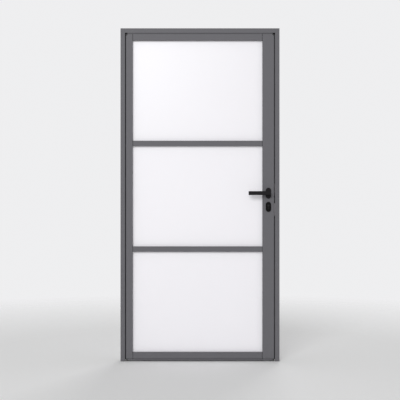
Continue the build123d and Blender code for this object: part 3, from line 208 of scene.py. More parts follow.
class Sheet(Nodes):
    """The shader nodes of one material."""

    def __init__(self, name: str) -> None:
        """Starts an empty material.

        Args:
            name: The material's name.
        """
        self.material = bpy.data.materials.new(name)
        self.material.use_nodes = True
        super().__init__(self.material.node_tree)
        self.tree.nodes.clear()
        self.place = self.add("ShaderNodeTexCoord").outputs["Object"]

    def noise(self, size: float, detail: float, stretch: Point | None = None) -> Wave:
        """Cloudy variation from 0 to 1.

        Args:
            size: How large its clouds are.
            detail: How many finer layers it has.
            stretch: How it is stretched along each axis.

        Returns:
            The variation.
        """
        place = self.place
        if stretch:
            inputs = {"Vector": place, "Scale": stretch}
            place = self.add("ShaderNodeMapping", None, inputs).outputs[0]
        inputs = {"Vector": place, "Scale": 1 / size, "Detail": detail}
        return Wave(self, self.add("ShaderNodeTexNoise", None, inputs).outputs[0])

    def grains(self, size: float) -> Wave:
        """Small cells, as of a cast or sprayed surface, by the distance from their middles."""
        inputs = {"Vector": self.place, "Scale": 1 / size}
        return Wave(self, self.add("ShaderNodeTexVoronoi", {"feature": "F1"}, inputs).outputs[0])

    def inside(self, boxes: tuple[Box, ...], softness: float = 0.0001) -> Wave:
        """Where a point lies inside one of several boxes: 1 there and 0 outside.

        Args:
            boxes: The lowest and highest corner of each box.
            softness: How long the change at its sides is.

        Returns:
            The mask.
        """
        split = self.add("ShaderNodeSeparateXYZ", None, {0: self.place})
        axes = [Wave(self, socket) for socket in split.outputs]
        masks = []
        for low, high in boxes:
            slabs = [
                axis.over(start, softness) * (1 - axis.over(end, softness))
                for axis, start, end in zip(axes, low, high)
            ]
            masks.append(slabs[0] * slabs[1] * slabs[2])
        return reduce(Wave.either, masks)

    def mix(self, share: Wave | float, first: Colour | Socket, second: Colour) -> Socket:
        """Two colours mixed by a share of the second."""
        inputs = {0: share, 6: first, 7: second}
        return self.add("ShaderNodeMix", {"data_type": "RGBA"}, inputs).outputs[2]

    def bump(self, height: Wave, depth: float, strength: float) -> Socket:
        """The normal of a surface raised by a height of 0 to 1 times a depth."""
        inputs = {"Strength": strength, "Distance": depth, "Height": height}
        return self.add("ShaderNodeBump", None, inputs).outputs[0]

    def surface(self, inputs: dict) -> Material:
        """Ends the material in one surface shader.

        Args:
            inputs: The values or links of the shader's sockets.

        Returns:
            The finished material.
        """
        shader = self.add("ShaderNodeBsdfPrincipled", None, inputs)
        self.add("ShaderNodeOutputMaterial", None, {"Surface": shader.outputs[0]})
        return self.material


@dataclass(frozen=True)
class PowderCoat:
    """Sprayed and baked coat with its fine texture.

    Attributes:
        name: The material's name.
        colour: The coat's colour.
        roughness: Its mean roughness.
        texture: The size of its texture's cells.
        relief: How high the texture stands.
        drift: The share by which its colour drifts from place to place.
        rubbed: How much lighter the rubbed spots are.
        gloss: How strongly its face reflects.
        reach: The length over which its colour drifts.
        cloud: The size of its cloudy spots.
        shade_boxes: Boxes inside which the coat is darkened as painted shade in joints and grooves.
        shade_level: How bright the painted shade is, as a share of the coat.
    """

    name: str
    colour: Colour
    roughness: float = 0.44
    texture: float = 0.0011
    relief: float = 0.00009
    drift: float = 0.06
    rubbed: float = 0.0
    gloss: float = 0.16
    reach: float = 0.7
    cloud: float = 0.035
    shade_boxes: tuple[Box, ...] = ()
    shade_level: float = 0.1

    @cache
    def build(self) -> Material:
        """Builds the coat, once.

        Returns:
            Its material.
        """
        sheet = Sheet(self.name)
        length = sheet.noise(self.reach, detail=3.0)
        cloud = sheet.noise(self.cloud, detail=4.0)
        peel = sheet.noise(self.texture, detail=2.0)
        speck = sheet.grains(self.texture * 0.8)
        dark = scaled(self.colour, 1 - self.drift)
        light = scaled(self.colour, 1 + self.drift + self.rubbed)
        tone = sheet.mix(0.35 * length + 0.25 * cloud + 0.4 * peel, dark, light)
        rough = self.roughness + 0.12 * (cloud - 0.5) + 0.10 * (peel - 0.5)
        # Painted shade: inside the given boxes the colour is darkened to stand in for the shade
        # that falls in the joints and grooves.
        if self.shade_boxes:
            painted_shade = sheet.inside(self.shade_boxes)
            tone = sheet.mix(painted_shade, tone, scaled(self.colour, self.shade_level))
            rough = rough + 0.3 * painted_shade
        inputs = {
            "Base Color": tone,
            "Roughness": rough,
            "Normal": sheet.bump(0.6 * peel + 0.4 * speck, self.relief, strength=0.9),
            "Specular IOR Level": self.gloss,
        }
        return sheet.surface(inputs)


@dataclass(frozen=True)
class DrawnMetal:
    """Bare, plated or blackened metal with the marks of its drawing or brushing.

    Attributes:
        name: The material's name.
        colour: The metal's colour.
        streak: The way its marks run.
        roughness: Its mean roughness.
        metallic: How metallic it is.
        marks: The width of its marks.
        relief: How high its marks stand.
        stain: How much darker its stained spots are.
        spots: The size of its stained spots.
        gloss: How strongly its face reflects.
    """

    name: str
    colour: Colour
    streak: Streak
    roughness: float = 0.32
    metallic: float = 1.0
    marks: float = 0.0006
    relief: float = 0.00002
    stain: float = 0.18
    spots: float = 0.012
    gloss: float = 0.5

    @cache
    def build(self) -> Material:
        """Builds the metal, once.

        Returns:
            Its material.
        """
        sheet = Sheet(self.name)
        lines = sheet.noise(self.marks, detail=3.0, stretch=self.streak.value)
        fine = sheet.noise(self.marks * 0.4, detail=2.0, stretch=self.streak.value)
        stained = sheet.noise(self.spots, detail=4.0).over(threshold=0.52, softness=0.25)
        clean, dirty = scaled(self.colour, 1.04), scaled(self.colour, 1 - self.stain)
        inputs = {
            "Base Color": sheet.mix(0.6 * stained + 0.4 * lines, clean, dirty),
            "Roughness": self.roughness + 0.16 * (lines - 0.5) + 0.10 * stained,
            "Normal": sheet.bump(0.6 * lines + 0.4 * fine, self.relief, strength=0.5),
            "Metallic": self.metallic,
            "Specular IOR Level": self.gloss,
        }
        return sheet.surface(inputs)


@dataclass(frozen=True)
class Moulding:
    """Moulded plastic or rubber with a fine grain and a little dust.

    Attributes:
        name: The material's name.
        colour: The moulding's colour.
        roughness: Its mean roughness.
        grain: The size of its grain.
        relief: How high its grain stands.
        dust: How much of it the dust covers.
        patches: The size of the dusty patches.
        gloss: How strongly its face reflects.
    """

    name: str
    colour: Colour
    roughness: float = 0.55
    grain: float = 0.0007
    relief: float = 0.00003
    dust: float = 0.2
    patches: float = 0.02
    gloss: float = 0.4

    @cache
    def build(self) -> Material:
        """Builds the moulding, once.

        Returns:
            Its material.
        """
        sheet = Sheet(self.name)
        grain = sheet.grains(self.grain)
        pores = sheet.noise(self.grain * 2.5, detail=3.0)
        dusty = sheet.noise(self.patches, detail=5.0).over(threshold=0.5, softness=0.4)
        inputs = {
            "Base Color": sheet.mix(self.dust * dusty, self.colour, scaled(self.colour, 2.6)),
            "Roughness": self.roughness + 0.14 * (pores - 0.5) + 0.15 * dusty,
            "Normal": sheet.bump(0.5 * grain + 0.5 * pores, self.relief, strength=0.6),
            "Specular IOR Level": self.gloss,
        }
        return sheet.surface(inputs)


@dataclass(frozen=True)
class OpalGlass:
    """Milk-white laminated glass that hides what is behind it, with a smooth face.

    Attributes:
        name: The material's name.
        colour: Its colour in full light.
        roughness: The roughness of the milky layer.
        index: The glass's index of refraction.
        face: How strongly its face mirrors.
        face_roughness: The roughness of its face.
        clouds: The size of the milky layer's clouds.
        milk: The size of the milky layer's grain.
        waves: The length of the slow waves in its face.
        relief: How high the waves stand.
    """

    name: str
    colour: Colour
    roughness: float = 0.38
    index: float = 1.52
    face: float = 0.2
    face_roughness: float = 0.22
    clouds: float = 0.45
    milk: float = 0.004
    waves: float = 0.16
    relief: float = 0.0004

    @cache
    def build(self) -> Material:
        """Builds the glass, once.

        Returns:
            Its material.
        """
        sheet = Sheet(self.name)
        cloud = sheet.noise(self.clouds, detail=2.0)
        milk = sheet.noise(self.milk, detail=4.0)
        dark, light = scaled(self.colour, 0.985), scaled(self.colour, 1.01)
        inputs = {
            "Base Color": sheet.mix(0.7 * cloud + 0.3 * milk, dark, light),
            "Roughness": self.roughness + 0.05 * (milk - 0.5),
            "Normal": sheet.bump(sheet.noise(self.waves, detail=1.0), self.relief, strength=0.5),
            "IOR": self.index,
            "Coat Weight": self.face,
            "Coat Roughness": self.face_roughness,
        }
        return sheet.surface(inputs)


@dataclass(frozen=True)
class Bristle:
    """Nylon bristles in strands and clumps.

    Attributes:
        name: The material's name.
        colour: The bristles' colour.
        strand: The width of a strand.
        clump: The width of a clump.
    """

    name: str
    colour: Colour
    strand: float = 0.0005
    clump: float = 0.006

    @cache
    def build(self) -> Material:
        """Builds the bristles' finish, once.

        Returns:
            Its material.
        """
        sheet = Sheet(self.name)
        strand = sheet.noise(self.strand, detail=2.0, stretch=(1.0, 1.0, 0.08))
        clump = sheet.noise(self.clump, detail=3.0, stretch=(1.0, 1.0, 0.3))
        dark, light = scaled(self.colour, 0.6), scaled(self.colour, 1.9)
        inputs = {
            "Base Color": sheet.mix(0.6 * strand + 0.4 * clump, dark, light),
            "Roughness": 0.5 + 0.3 * (strand - 0.5),
            "Normal": sheet.bump(strand, 0.0001, strength=0.7),
        }
        return sheet.surface(inputs)


Finish = PowderCoat | DrawnMetal | Moulding | OpalGlass | Bristle


@dataclass(frozen=True)
class Finishes:
    """Every finish of the door.

    Attributes:
        grey: The colour of the coated sections.
        joints: Where the ends of the rails and bars meet the stiles, with painted shade in the open
            joints.
        notch: Where the stiles are notched for the sweep's carrier, painted dark as shade.
        gap: The shadow gap along the top of the sweep's carrier, painted dark as shade.
    """

    grey: Colour = shade(101, 100, 104)
    joints: tuple[Box, ...] = (
        ((-0.4245, -0.0260, 0.0), (-0.4215, -0.0080, 2.1)),
        ((0.3905, -0.0260, 0.0), (0.3935, -0.0080, 2.1)),
    )
    notch: tuple[Box, ...] = (((-0.5, -0.0246, 0.0144), (0.5, -0.0236, 0.0171)),)
    gap: tuple[Box, ...] = (((-0.5, -0.0248, 0.0144), (0.5, -0.0040, 0.0171)),)
    coat: PowderCoat = PowderCoat("grey powder coat", grey)
    # These three coats are darkened as painted shade inside the joints, the notch and the gap.
    joint_shade_coat: PowderCoat = PowderCoat("grey coat with painted joint shade", grey, shade_boxes=joints)
    stile_coat: PowderCoat = PowderCoat("grey stile coat with painted notch shade", grey, shade_boxes=notch)
    carrier_coat: PowderCoat = PowderCoat("grey carrier coat with painted gap shade", grey, shade_boxes=gap)
    hinge_coat: PowderCoat = PowderCoat(
        "grey hinge coat", scaled(grey, 0.94), roughness=0.38, texture=0.0008
    )
    black: PowderCoat = PowderCoat(
        "black powder coat",
        shade(28, 26, 28),
        roughness=0.46,
        texture=0.0006,
        relief=0.00005,
        drift=0.1,
        rubbed=0.15,
        gloss=0.07,
    )
    escutcheon: PowderCoat = PowderCoat(
        "black escutcheon coat",
        shade(12, 11, 12),
        roughness=0.50,
        texture=0.0006,
        relief=0.00005,
        drift=0.1,
        gloss=0.05,
    )
    cylinder: DrawnMetal = DrawnMetal(
        "blackened brass", shade(13, 12, 12), Streak.LEVEL, 0.42, 0.0, marks=0.0004, gloss=0.1
    )
    plug: DrawnMetal = DrawnMetal(
        "blackened plug", shade(20, 19, 19), Streak.UPRIGHT, 0.36, 0.0, marks=0.0003, gloss=0.16
    )
    glass: OpalGlass = OpalGlass("opal glass", shade(240, 238, 242))
    rubber: Moulding = Moulding("seal rubber", shade(30, 30, 31), 0.68, grain=0.0005)
    plastic: Moulding = Moulding("black plastic", shade(24, 24, 25), 0.52, dust=0.08)
    nylon: Moulding = Moulding(
        "bush nylon", shade(52, 52, 54), 0.42, grain=0.0009, relief=0.00002, dust=0.1
    )
    aluminium: DrawnMetal = DrawnMetal("drawn aluminium", shade(196, 197, 199), Streak.LEVEL, 0.36)
    zinc: DrawnMetal = DrawnMetal(
        "zinc plate", shade(176, 178, 180), Streak.ACROSS, 0.34, marks=0.0009, stain=0.3
    )
    stainless: DrawnMetal = DrawnMetal(
        "brushed stainless", shade(186, 184, 180), Streak.UPRIGHT, 0.28
    )
    keep: DrawnMetal = DrawnMetal(
        "satin keep", shade(100, 97, 101), Streak.UPRIGHT, 0.46, 0.2, stain=0.08, gloss=0.3
    )
    bristle: Bristle = Bristle("brush bristles", shade(40, 40, 42))


def placed(name: str, data: bpy.types.ID) -> bpy.types.Object:
    """A new object in the scene.

    Args:
        name: The object's name.
        data: Its mesh, lamp or camera.

    Returns:
        The object.
    """
    made = bpy.data.objects.new(name, data)
    bpy.context.scene.collection.objects.link(made)
    return made


def settled(holder: bpy.types.Object) -> Mesh:
    """The plain mesh that an object's modifiers make; the object is removed.

    Args:
        holder: The object.

    Returns:
        The mesh.
    """
    graph = bpy.context.evaluated_depsgraph_get()
    mesh = bpy.data.meshes.new_from_object(holder.evaluated_get(graph), depsgraph=graph)
    holder.modifiers.clear()
    bpy.data.objects.remove(holder)
    return mesh


class Tree(Nodes):
    """A Geometry Nodes tree with named inputs."""

    def __init__(self, name: str) -> None:
        """Starts an empty tree that takes and gives one geometry.

        Args:
            name: The tree's name.
        """
        super().__init__(bpy.data.node_groups.new(name, "GeometryNodeTree"))
        for way in ("INPUT", "OUTPUT"):
            self.tree.interface.new_socket("Geometry", in_out=way, socket_type="NodeSocketGeometry")
        self.identifiers: dict[str, str] = {}
        self.start = self.add("NodeGroupInput")

    def takes(self, name: str, kind: str, value: object = None) -> None:
        """Adds a named input.

        Args:
            name: The input's name.
            kind: Its socket type, without the leading words.
            value: Its default, where it has one.
        """
        kind = "NodeSocket" + kind
        socket = self.tree.interface.new_socket(name, in_out="INPUT", socket_type=kind)
        if value is not None:
            socket.default_value = value
        self.identifiers[name] = socket.identifier

    def given(self, name: str) -> Socket:
        """The socket that gives a named input."""
        return self.start.outputs[name]

    def close(self, geometry: Socket) -> None:
        """Ends the tree: real geometry, in the material that is given.

        Args:
            geometry: What the tree has made.
        """
        real = self.add("GeometryNodeRealizeInstances", None, {"Geometry": geometry})
        inputs = {"Geometry": real.outputs[0], "Material": self.given("Material")}
        dressed = self.add("GeometryNodeSetMaterial", None, inputs)
        self.add("NodeGroupOutput", None, {0: dressed.outputs[0]})

    def grow(self, name: str, seats: list[Point], values: dict) -> Mesh:
        """Runs the tree on a set of points.

        Args:
            name: The name of the mesh that it makes.
            seats: The points.
            values: The named inputs.

        Returns:
            A plain mesh.
        """
        base = bpy.data.meshes.new(name + "_seats")
        base.from_pydata(seats, [], [])
        holder = placed(name + "_base", base)
        modifier = holder.modifiers.new("grow", "NODES")
        modifier.node_group = self.tree
        for key, value in values.items():
            modifier[self.identifiers[key]] = value
        mesh = settled(holder)
        mesh.name = name
        return mesh


def show(name: str, mesh: Mesh, body: str, nodes: list[str]) -> None:
    """Puts a finished mesh into the scene as a piece of the door.

    Args:
        name: The piece's name.
        mesh: Its mesh, already in place.
        body: The body that it rides on.
        nodes: The solids that it stands for.
    """
    piece = placed(name, mesh)
    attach(piece, body)
    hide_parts(*nodes)
    LOG.info("%s on %s: %d faces", name, body, len(mesh.polygons))


def joined(node: str) -> bmesh.types.BMesh:
    """A solid's loose triangles joined at their corners.

    Args:
        node: The solid's node.

    Returns:
        The joined mesh, for editing.
    """
    work = bmesh.new()
    work.from_mesh(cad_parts[node].data)
    bmesh.ops.remove_doubles(work, verts=work.verts, dist=MERGE)
    return work


def islands(node: str) -> list[Box]:
    """The lowest and highest corners of each separate solid in a node.

    Args:
        node: The node's name.

    Returns:
        One pair of corners for each solid.
    """
    work = joined(node)
    seen: set[int] = set()
    found = []
    for vert in work.verts:
        if vert.index in seen:
            continue
        queue, members = [vert], []
        while queue:
            here = queue.pop()
            if here.index not in seen:
                seen.add(here.index)
                members.append(tuple(here.co))
                queue.extend(edge.other_vert(here) for edge in here.link_edges)
        axes = list(zip(*members))
        found.append((tuple(map(min, axes)), tuple(map(max, axes))))
    work.free()
    return found


@dataclass(frozen=True)
class ScrewHeads:
    """Countersunk screws with a hexagon socket, set in the seats of plain ones.

    Attributes:
        outwards: The direction that the heads face, along an axis.
        head: The head's radius.
        shank: The shank's radius.
        length: The screw's whole length.
        rim: The height of the straight rim above the cone.
        socket: The radius of the socket's corners, as a share of the head's radius.
        depth: The depth of the socket, as a share of the head's radius.
        rounding: The width of the head's rounded edges, as a share of its radius.
        point: The length of the shank's tapered end, as a share of its radius.
        tip: The radius of that end's flat, as a share of the shank's radius.
        spin: The most that a screw may be turned about its own axis, in radians.
        sides: How many faces go round it.
    """

    outwards: Point
    head: float
    shank: float
    length: float
    rim: float = 0.0002
    socket: float = 0.45
    depth: float = 0.5
    rounding: float = 0.06
    point: float = 0.4
    tip: float = 0.6
    spin: float = 6.0
    sides: int = 24

    def outline(self) -> list[tuple[float, float, bool]]:
        """The screw's half section from the socket's floor round to the tip.

        Returns:
            The radius and height of each corner, and whether the ring there is a hexagon.
        """
        socket = self.head * self.socket
        floor = -self.head * self.depth
        bottom = -self.length
        rounding = self.head * self.rounding
        chamfer = rounding * 0.4
        return [
            (0.0, floor, False),
            (socket, floor, True),
            (socket, -chamfer, True),
            (socket + rounding, 0.0, True),
            (self.head - rounding, 0.0, False),
            (self.head, -rounding, False),
            (self.head, -rounding - self.rim, False),
            (self.shank, -self.rim - (self.head - self.shank), False),
            (self.shank, bottom + self.shank * self.point, False),
            (self.shank * self.tip, bottom, False),
            (0.0, bottom, False),
        ]

    def template(self) -> Mesh:
        """One screw whose flat top lies at the origin and whose shank points along -Z.

        Returns:
            The screw's mesh.
        """
        work = bmesh.new()
        sixth = math.pi / 3
        rings = []
        for radius, height, is_hexagon in self.outline():
            if radius == 0.0:
                rings.append([work.verts.new((0, 0, height))])
                continue
            ring = []
            for step in range(self.sides):
                angle = 2 * math.pi * step / self.sides
                reach = radius
                if is_hexagon:
                    across = radius * math.cos(sixth / 2)
                    reach = across / math.cos((angle % sixth) - sixth / 2)
                place = (reach * math.cos(angle), reach * math.sin(angle), height)
                ring.append(work.verts.new(place))
            rings.append(ring)
        for upper, lower in zip(rings, rings[1:]):
            for step in range(self.sides):
                after = (step + 1) % self.sides
                if len(upper) == 1:
                    work.faces.new((upper[0], lower[step], lower[after]))
                elif len(lower) == 1:
                    work.faces.new((upper[step], lower[0], upper[after]))
                else:
                    work.faces.new((upper[step], lower[step], lower[after], upper[after]))
        bmesh.ops.recalc_face_normals(work, faces=work.faces)
        mesh = bpy.data.meshes.new("screw_template")
        work.to_mesh(mesh)
        work.free()
        mesh.set_sharp_from_angle(angle=SHARP)
        return mesh

    def tree(self) -> Tree:
        """The tree that puts a screw on every seat.

        Returns:
            The tree.
        """
        tree = Tree("screws at seats")
        tree.takes("Screw", "Object")
        tree.takes("Turn", "Vector")
        tree.takes("Spin", "Float", self.spin)
        tree.takes("Seed", "Int", 4)
        tree.takes("Material", "Material")
        inputs = {"Object": tree.given("Screw"), "As Instance": True}
        screw = tree.add("GeometryNodeObjectInfo", None, inputs)
        inputs = {3: tree.given("Spin"), "Seed": tree.given("Seed")}
        spin = tree.add("FunctionNodeRandomValue", {"data_type": "FLOAT"}, inputs)
        turn = tree.add("ShaderNodeCombineXYZ", None, {"Z": spin.outputs[1]})
        inputs = {
            "Points": tree.given("Geometry"),
            "Instance": screw.outputs["Geometry"],
            "Rotation": tree.given("Turn"),
        }
        points = tree.add("GeometryNodeInstanceOnPoints", None, inputs)
        inputs = {"Instances": points.outputs[0], "Rotation": turn.outputs[0], "Local Space": True}
        turned = tree.add("GeometryNodeRotateInstances", None, inputs)
        tree.close(turned.outputs[0])
        return tree

    def seats(self, node: str) -> list[Point]:
        """The seats of the screws in a node.

        Args:
            node: The plain screws' node.

        Returns:
            The middle of each head's top.
        """
        found = []
        for low, high in islands(node):
            seat = [(low[axis] + high[axis]) / 2 for axis in range(3)]
            for axis, way in enumerate(self.outwards):
                if way:
                    seat[axis] = high[axis] if way > 0 else low[axis]
            found.append(tuple(seat))
        return found

    def build(self, name: str, node: str, body: str, finish: Finish, seed: int) -> None:
        """Replaces a node of plain screws by real ones in the same seats.

        Args:
            name: The name of the piece.
            node: The plain screws' node.
            body: The body that they ride on.
            finish: Their finish.
            seed: The seed of their random turn.
        """
        holder = placed(name + "_template", self.template())
        turn = Vector(self.outwards).to_track_quat("Z", "Y").to_euler()
        values = {"Screw": holder, "Turn": tuple(turn), "Spin": self.spin, "Seed": seed}
        values["Material"] = finish.build()
        mesh = self.tree().grow(name, self.seats(node), values)
        bpy.data.objects.remove(holder)
        show(name, mesh, body, [node])


@dataclass
class SubAssembly:
    """A group of pieces that are dressed together.

    Attributes:
        finishes: The finishes of the door.
    """

    finishes: Finishes

    def dress(self, finish: Finish, *nodes: str) -> None:
        """Gives solids that stay as they are their finish.

        Args:
            finish: The finish.
            nodes: The solids' nodes.
        """
        for node in nodes:
            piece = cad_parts[node]
            piece.data.materials.clear()
            piece.data.materials.append(finish.build())
            LOG.info("%s dressed in %s", node, finish.name)

    def refine(
        self, node: str, body: str, slot: str, finish: Finish, edge: float, segments: int = 2
    ) -> None:
        """Replaces a solid by a copy with rounded edges.

        Args:
            node: The solid's node.
            body: The body that it rides on.
            slot: The record's slot for its finish; not used.
            finish: Its finish.
            edge: The width of its rounded edges.
            segments: How many steps a rounded edge has.
        """
        work = joined(node)
        bmesh.ops.dissolve_limit(work, angle_limit=FLAT, verts=work.verts, edges=work.edges)
        for face in work.faces:
            face.smooth = True
            face.material_index = 0
        mesh = bpy.data.meshes.new(node + "_shape")
        work.to_mesh(mesh)
        work.free()
        mesh.set_sharp_from_angle(angle=SHARP)
        holder = placed(node + "_holder", mesh)
        bevel = holder.modifiers.new("edges", "BEVEL")
        bevel.width = edge
        bevel.segments = segments
        bevel.limit_method = "ANGLE"
        bevel.angle_limit = SHARP
        bevel.use_clamp_overlap = False
        bevel.harden_normals = True
        rounded = settled(holder)
        rounded.materials.clear()
        rounded.materials.append(finish.build())
        show(node + "_finished", rounded, body, [node])


@dataclass
class OuterFrame(SubAssembly):
    """The jambs and the head with their seal, spigots, strike plate and fixings.

    Attributes:
        edge: The width of the sections' rounded edges.
        seal_edge: The width of the seal's rounded edges.
        moulded_edge: The width of the mouldings' rounded edges.
        keep_edge: The width of the strike plate's rounded edges.
        screws: The strike plate's screws.
    """

    edge: float = 0.0004
    seal_edge: float = 0.0002
    moulded_edge: float = 0.0003
    keep_edge: float = 0.0003
    screws: ScrewHeads = ScrewHeads((-1.0, 0.0, 0.0), head=0.0038, shank=0.0020, length=0.012)

    def build(self) -> None:
        """Builds and dresses the frame."""
        f = self.finishes
        for node in ("left_jamb", "right_jamb", "frame_head"):
            self.refine(node, "frame", "frame_coat", f.coat, self.edge)
        self.refine("frame_seal", "frame", "seal_rubber", f.rubber, self.seal_edge)
        for node in ("fixing_caps", "dust_box"):
            self.refine(node, "frame", "black_plastic", f.plastic, self.moulded_edge)
        self.refine("strike_plate", "frame", "keep_metal", f.keep, self.keep_edge)
        self.dress(f.aluminium, "head_spigots")
        self.dress(f.zinc, "head_screws")
        self.screws.build("strike_screw_row", "strike_screws", "frame", f.stainless, seed=11)


@dataclass
class Hinges(SubAssembly):
    """The three hinges with their pins, bushes and screws.

    Attributes:
        edge: The width of the plates' rounded edges.
        pin_edge: The width of the pins' rounded edges.
        bush_edge: The width of the bushes' rounded edges.
        screws: The screws of the plates.
    """

    edge: float = 0.0004
    pin_edge: float = 0.0003
    bush_edge: float = 0.0001
    screws: ScrewHeads = ScrewHeads((0.0, 1.0, 0.0), head=0.0040, shank=0.0024, length=0.012)

    def build(self) -> None:
        """Builds and dresses the hinges."""
        f = self.finishes
        for place in ("lower", "middle", "upper"):
            self.refine(f"{place}_frame_knuckles", "frame", "hinge_coat", f.hinge_coat, self.edge)
            self.refine(f"{place}_leaf_knuckle", "leaf", "hinge_coat", f.hinge_coat, self.edge)
        self.refine("hinge_pins", "frame", "steel", f.stainless, self.pin_edge)
        self.refine("hinge_bushes", "leaf", "bush_plastic", f.nylon, self.bush_edge)
        for body, seed in (("frame", 3), ("leaf", 7)):
            node = body + "_hinge_screws"
            self.screws.build(node + "_row", node, body, f.zinc, seed)


@dataclass
class LeafFrame(SubAssembly):
    """The stiles, rails, bars and strips of the leaf.

    Attributes:
        edge: The width of the sections' rounded edges.
        bead_edge: The width of the beads' rounded edges.
        cap_edge: The width of the caps' rounded edges.
    """

    edge: float = 0.0004
    bead_edge: float = 0.0003
    cap_edge: float = 0.0003

    def build(self) -> None:
        """Builds and dresses the leaf's sections."""
        f = self.finishes
        for node in ("hinge_stile", "lock_stile"):
            self.refine(node, "leaf", "frame_coat", f.stile_coat, self.edge)
        for node in ("top_rail", "bottom_rail", "lower_bar", "upper_bar"):
            self.refine(node, "leaf", "frame_coat", f.joint_shade_coat, self.edge)
        self.refine("sweep_carrier", "leaf", "frame_coat", f.carrier_coat, self.edge)
        self.refine("glazing_beads", "leaf", "frame_coat", f.coat, self.bead_edge)
        self.refine("stile_caps", "leaf", "black_plastic", f.plastic, self.cap_edge)
        self.dress(f.aluminium, "rail_spigots")
        self.dress(f.zinc, "rail_screws")


@dataclass
class Glazing(SubAssembly):
    """The panes with their gaskets and setting blocks.

    Attributes:
        arris: The width of the glass's ground edges.
        lip: The width of the gaskets' rounded lips.
        lip_steps: How many steps a lip's rounding has.
    """

    arris: float = 0.0006
    lip: float = 0.0004
    lip_steps: int = 3

    def build(self) -> None:
        """Builds and dresses the panes."""
        f = self.finishes
        for place in ("lower", "middle", "upper"):
            self.refine(f"{place}_glass", "leaf", "opal_glass", f.glass, self.arris, segments=1)
        for face in Face:
            node = f"{face.value}_gaskets"
            self.refine(node, "leaf", "seal_rubber", f.rubber, self.lip, self.lip_steps)
        self.dress(f.plastic, "setting_blocks")


@dataclass
class SweepBrush(SubAssembly):
    """The brush under the leaf: a foot and rows of bristles.

    Attributes:
        rows: How many rows of bristles it has.
        pitch: The distance between bristles along a row.
        thickness: How thick a tuft is at its root.
        taper: How thick a tuft is at its tip, as a share of its root.
        lean: How far a tuft leans, in radians.
        twist: How far a tuft is turned about its own axis, in radians.
        shortest: The shortest tuft's length, as a share of the longest.
        foot: The height of the foot that holds the bristles.
        foot_edge: The width of the foot's rounded edges.
        mouth: The width of the carrier's mouth across the rows.
        inset: How far the rows stop short of the foot's ends.
        clearance: How far the bristles' tips stay above the floor.
        seed: The seed of the lean and the length.
    """

    rows: int = 4
    pitch: float = 0.0011
    thickness: float = 0.00062
    taper: float = 0.45
    lean: float = 0.10
    twist: float = 1.5
    shortest: float = 0.86
    foot: float = 0.0028
    foot_edge: float = 0.0004
    mouth: float = 0.0048
    inset: float = 0.0014
    clearance: float = 0.0002
    seed: int = 21

    def tree(self) -> Tree:
        """The tree that puts a tuft on every seat.

        Returns:
            The tree.
        """
        tree = Tree("brush tufts")
        tree.takes("Length", "Float", 0.01)
        tree.takes("Thickness", "Float", self.thickness)
        tree.takes("Lean", "Float", self.lean)
        tree.takes("Seed", "Int", self.seed)
        tree.takes("Material", "Material")
        seed = tree.given("Seed")
        forth = Wave(tree, tree.given("Lean"))
        back = -1.0 * forth
        inputs = {
            "Vertices": 4,
            "Depth": tree.given("Length"),
            "Radius Bottom": tree.given("Thickness"),
            "Radius Top": self.thickness * self.taper,
        }
        tuft = tree.add("GeometryNodeMeshCone", {"fill_type": "NGON"}, inputs)
        low = tree.add("ShaderNodeCombineXYZ", None, {"X": back, "Y": back, "Z": -self.twist})
        high = tree.add("ShaderNodeCombineXYZ", None, {"X": forth, "Y": forth, "Z": self.twist})
        inputs = {0: low.outputs[0], 1: high.outputs[0], "Seed": seed}
        turn = tree.add("FunctionNodeRandomValue", {"data_type": "FLOAT_VECTOR"}, inputs)
        inputs = {0: (math.pi, 0.0, 0.0), 1: turn.outputs[0]}
        down = tree.add("FunctionNodeRotateRotation", None, inputs)
        inputs = {2: self.shortest, 3: 1.0, "Seed": seed}
        grown = tree.add("FunctionNodeRandomValue", {"data_type": "FLOAT"}, inputs)
        inputs = {
            "Points": tree.given("Geometry"),
            "Instance": tuft.outputs["Mesh"],
            "Rotation": down.outputs[0],
            "Scale": grown.outputs[1],
        }
        points = tree.add("GeometryNodeInstanceOnPoints", None, inputs)
        tree.close(points.outputs[0])
        return tree

    def build(self) -> None:
        """Builds and dresses the brush."""
        low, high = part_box("sweep_brush")
        foot_low = high.z - self.foot
        middle = (low.y + high.y) / 2
        count = int((high.x - low.x - 2 * self.inset) / self.pitch)
        spread = self.mouth - 4 * self.thickness
        seats = []
        for row in range(self.rows):
            y = middle - spread / 2 + spread * row / (self.rows - 1)
            for step in range(count):
                x = low.x + self.inset + self.pitch * (step + 0.5 * (row % 2))
                seats.append((x, y, foot_low))
        values = {
            "Length": foot_low - low.z - self.clearance,
            "Thickness": self.thickness,
            "Lean": self.lean,
            "Seed": self.seed,
            "Material": self.finishes.bristle.build(),
        }
        bristles = self.tree().grow("brush", seats, values)
        work = bmesh.new()
        work.from_mesh(bristles)
        shift = Matrix.Translation(((low.x + high.x) / 2, middle, (foot_low + high.z) / 2))
        size = Matrix.Diagonal((high.x - low.x, high.y - low.y, high.z - foot_low, 1.0))
        made = bmesh.ops.create_cube(work, size=1.0, matrix=shift @ size)
        edges = list({edge for vert in made["verts"] for edge in vert.link_edges})
        bmesh.ops.bevel(
            work, geom=edges, offset=self.foot_edge, segments=2, profile=0.5, affect="EDGES"
        )
        work.to_mesh(bristles)
        work.free()
        show("brush", bristles, "leaf", ["sweep_brush"])


@dataclass
class MortiseLock(SubAssembly):
    """The lock in the stile: case, bolts, forend and screws.

    Attributes:
        edge: The width of the forend's and the latch bolt's rounded edges.
        bolt_edge: The width of the deadbolt's rounded edges.
    """

    edge: float = 0.0003
    bolt_edge: float = 0.0002

    def build(self) -> None:
        """Builds and dresses the lock."""
        f = self.finishes
        self.refine("forend", "leaf", "lock_steel", f.stainless, self.edge)
        self.refine("latch_bolt", "latch", "lock_steel", f.stainless, self.edge)
        self.refine("deadbolt", "bolt", "lock_steel", f.stainless, self.bolt_edge)
        self.dress(f.zinc, "lock_case", "lock_cover", "lock_screws", "follower")


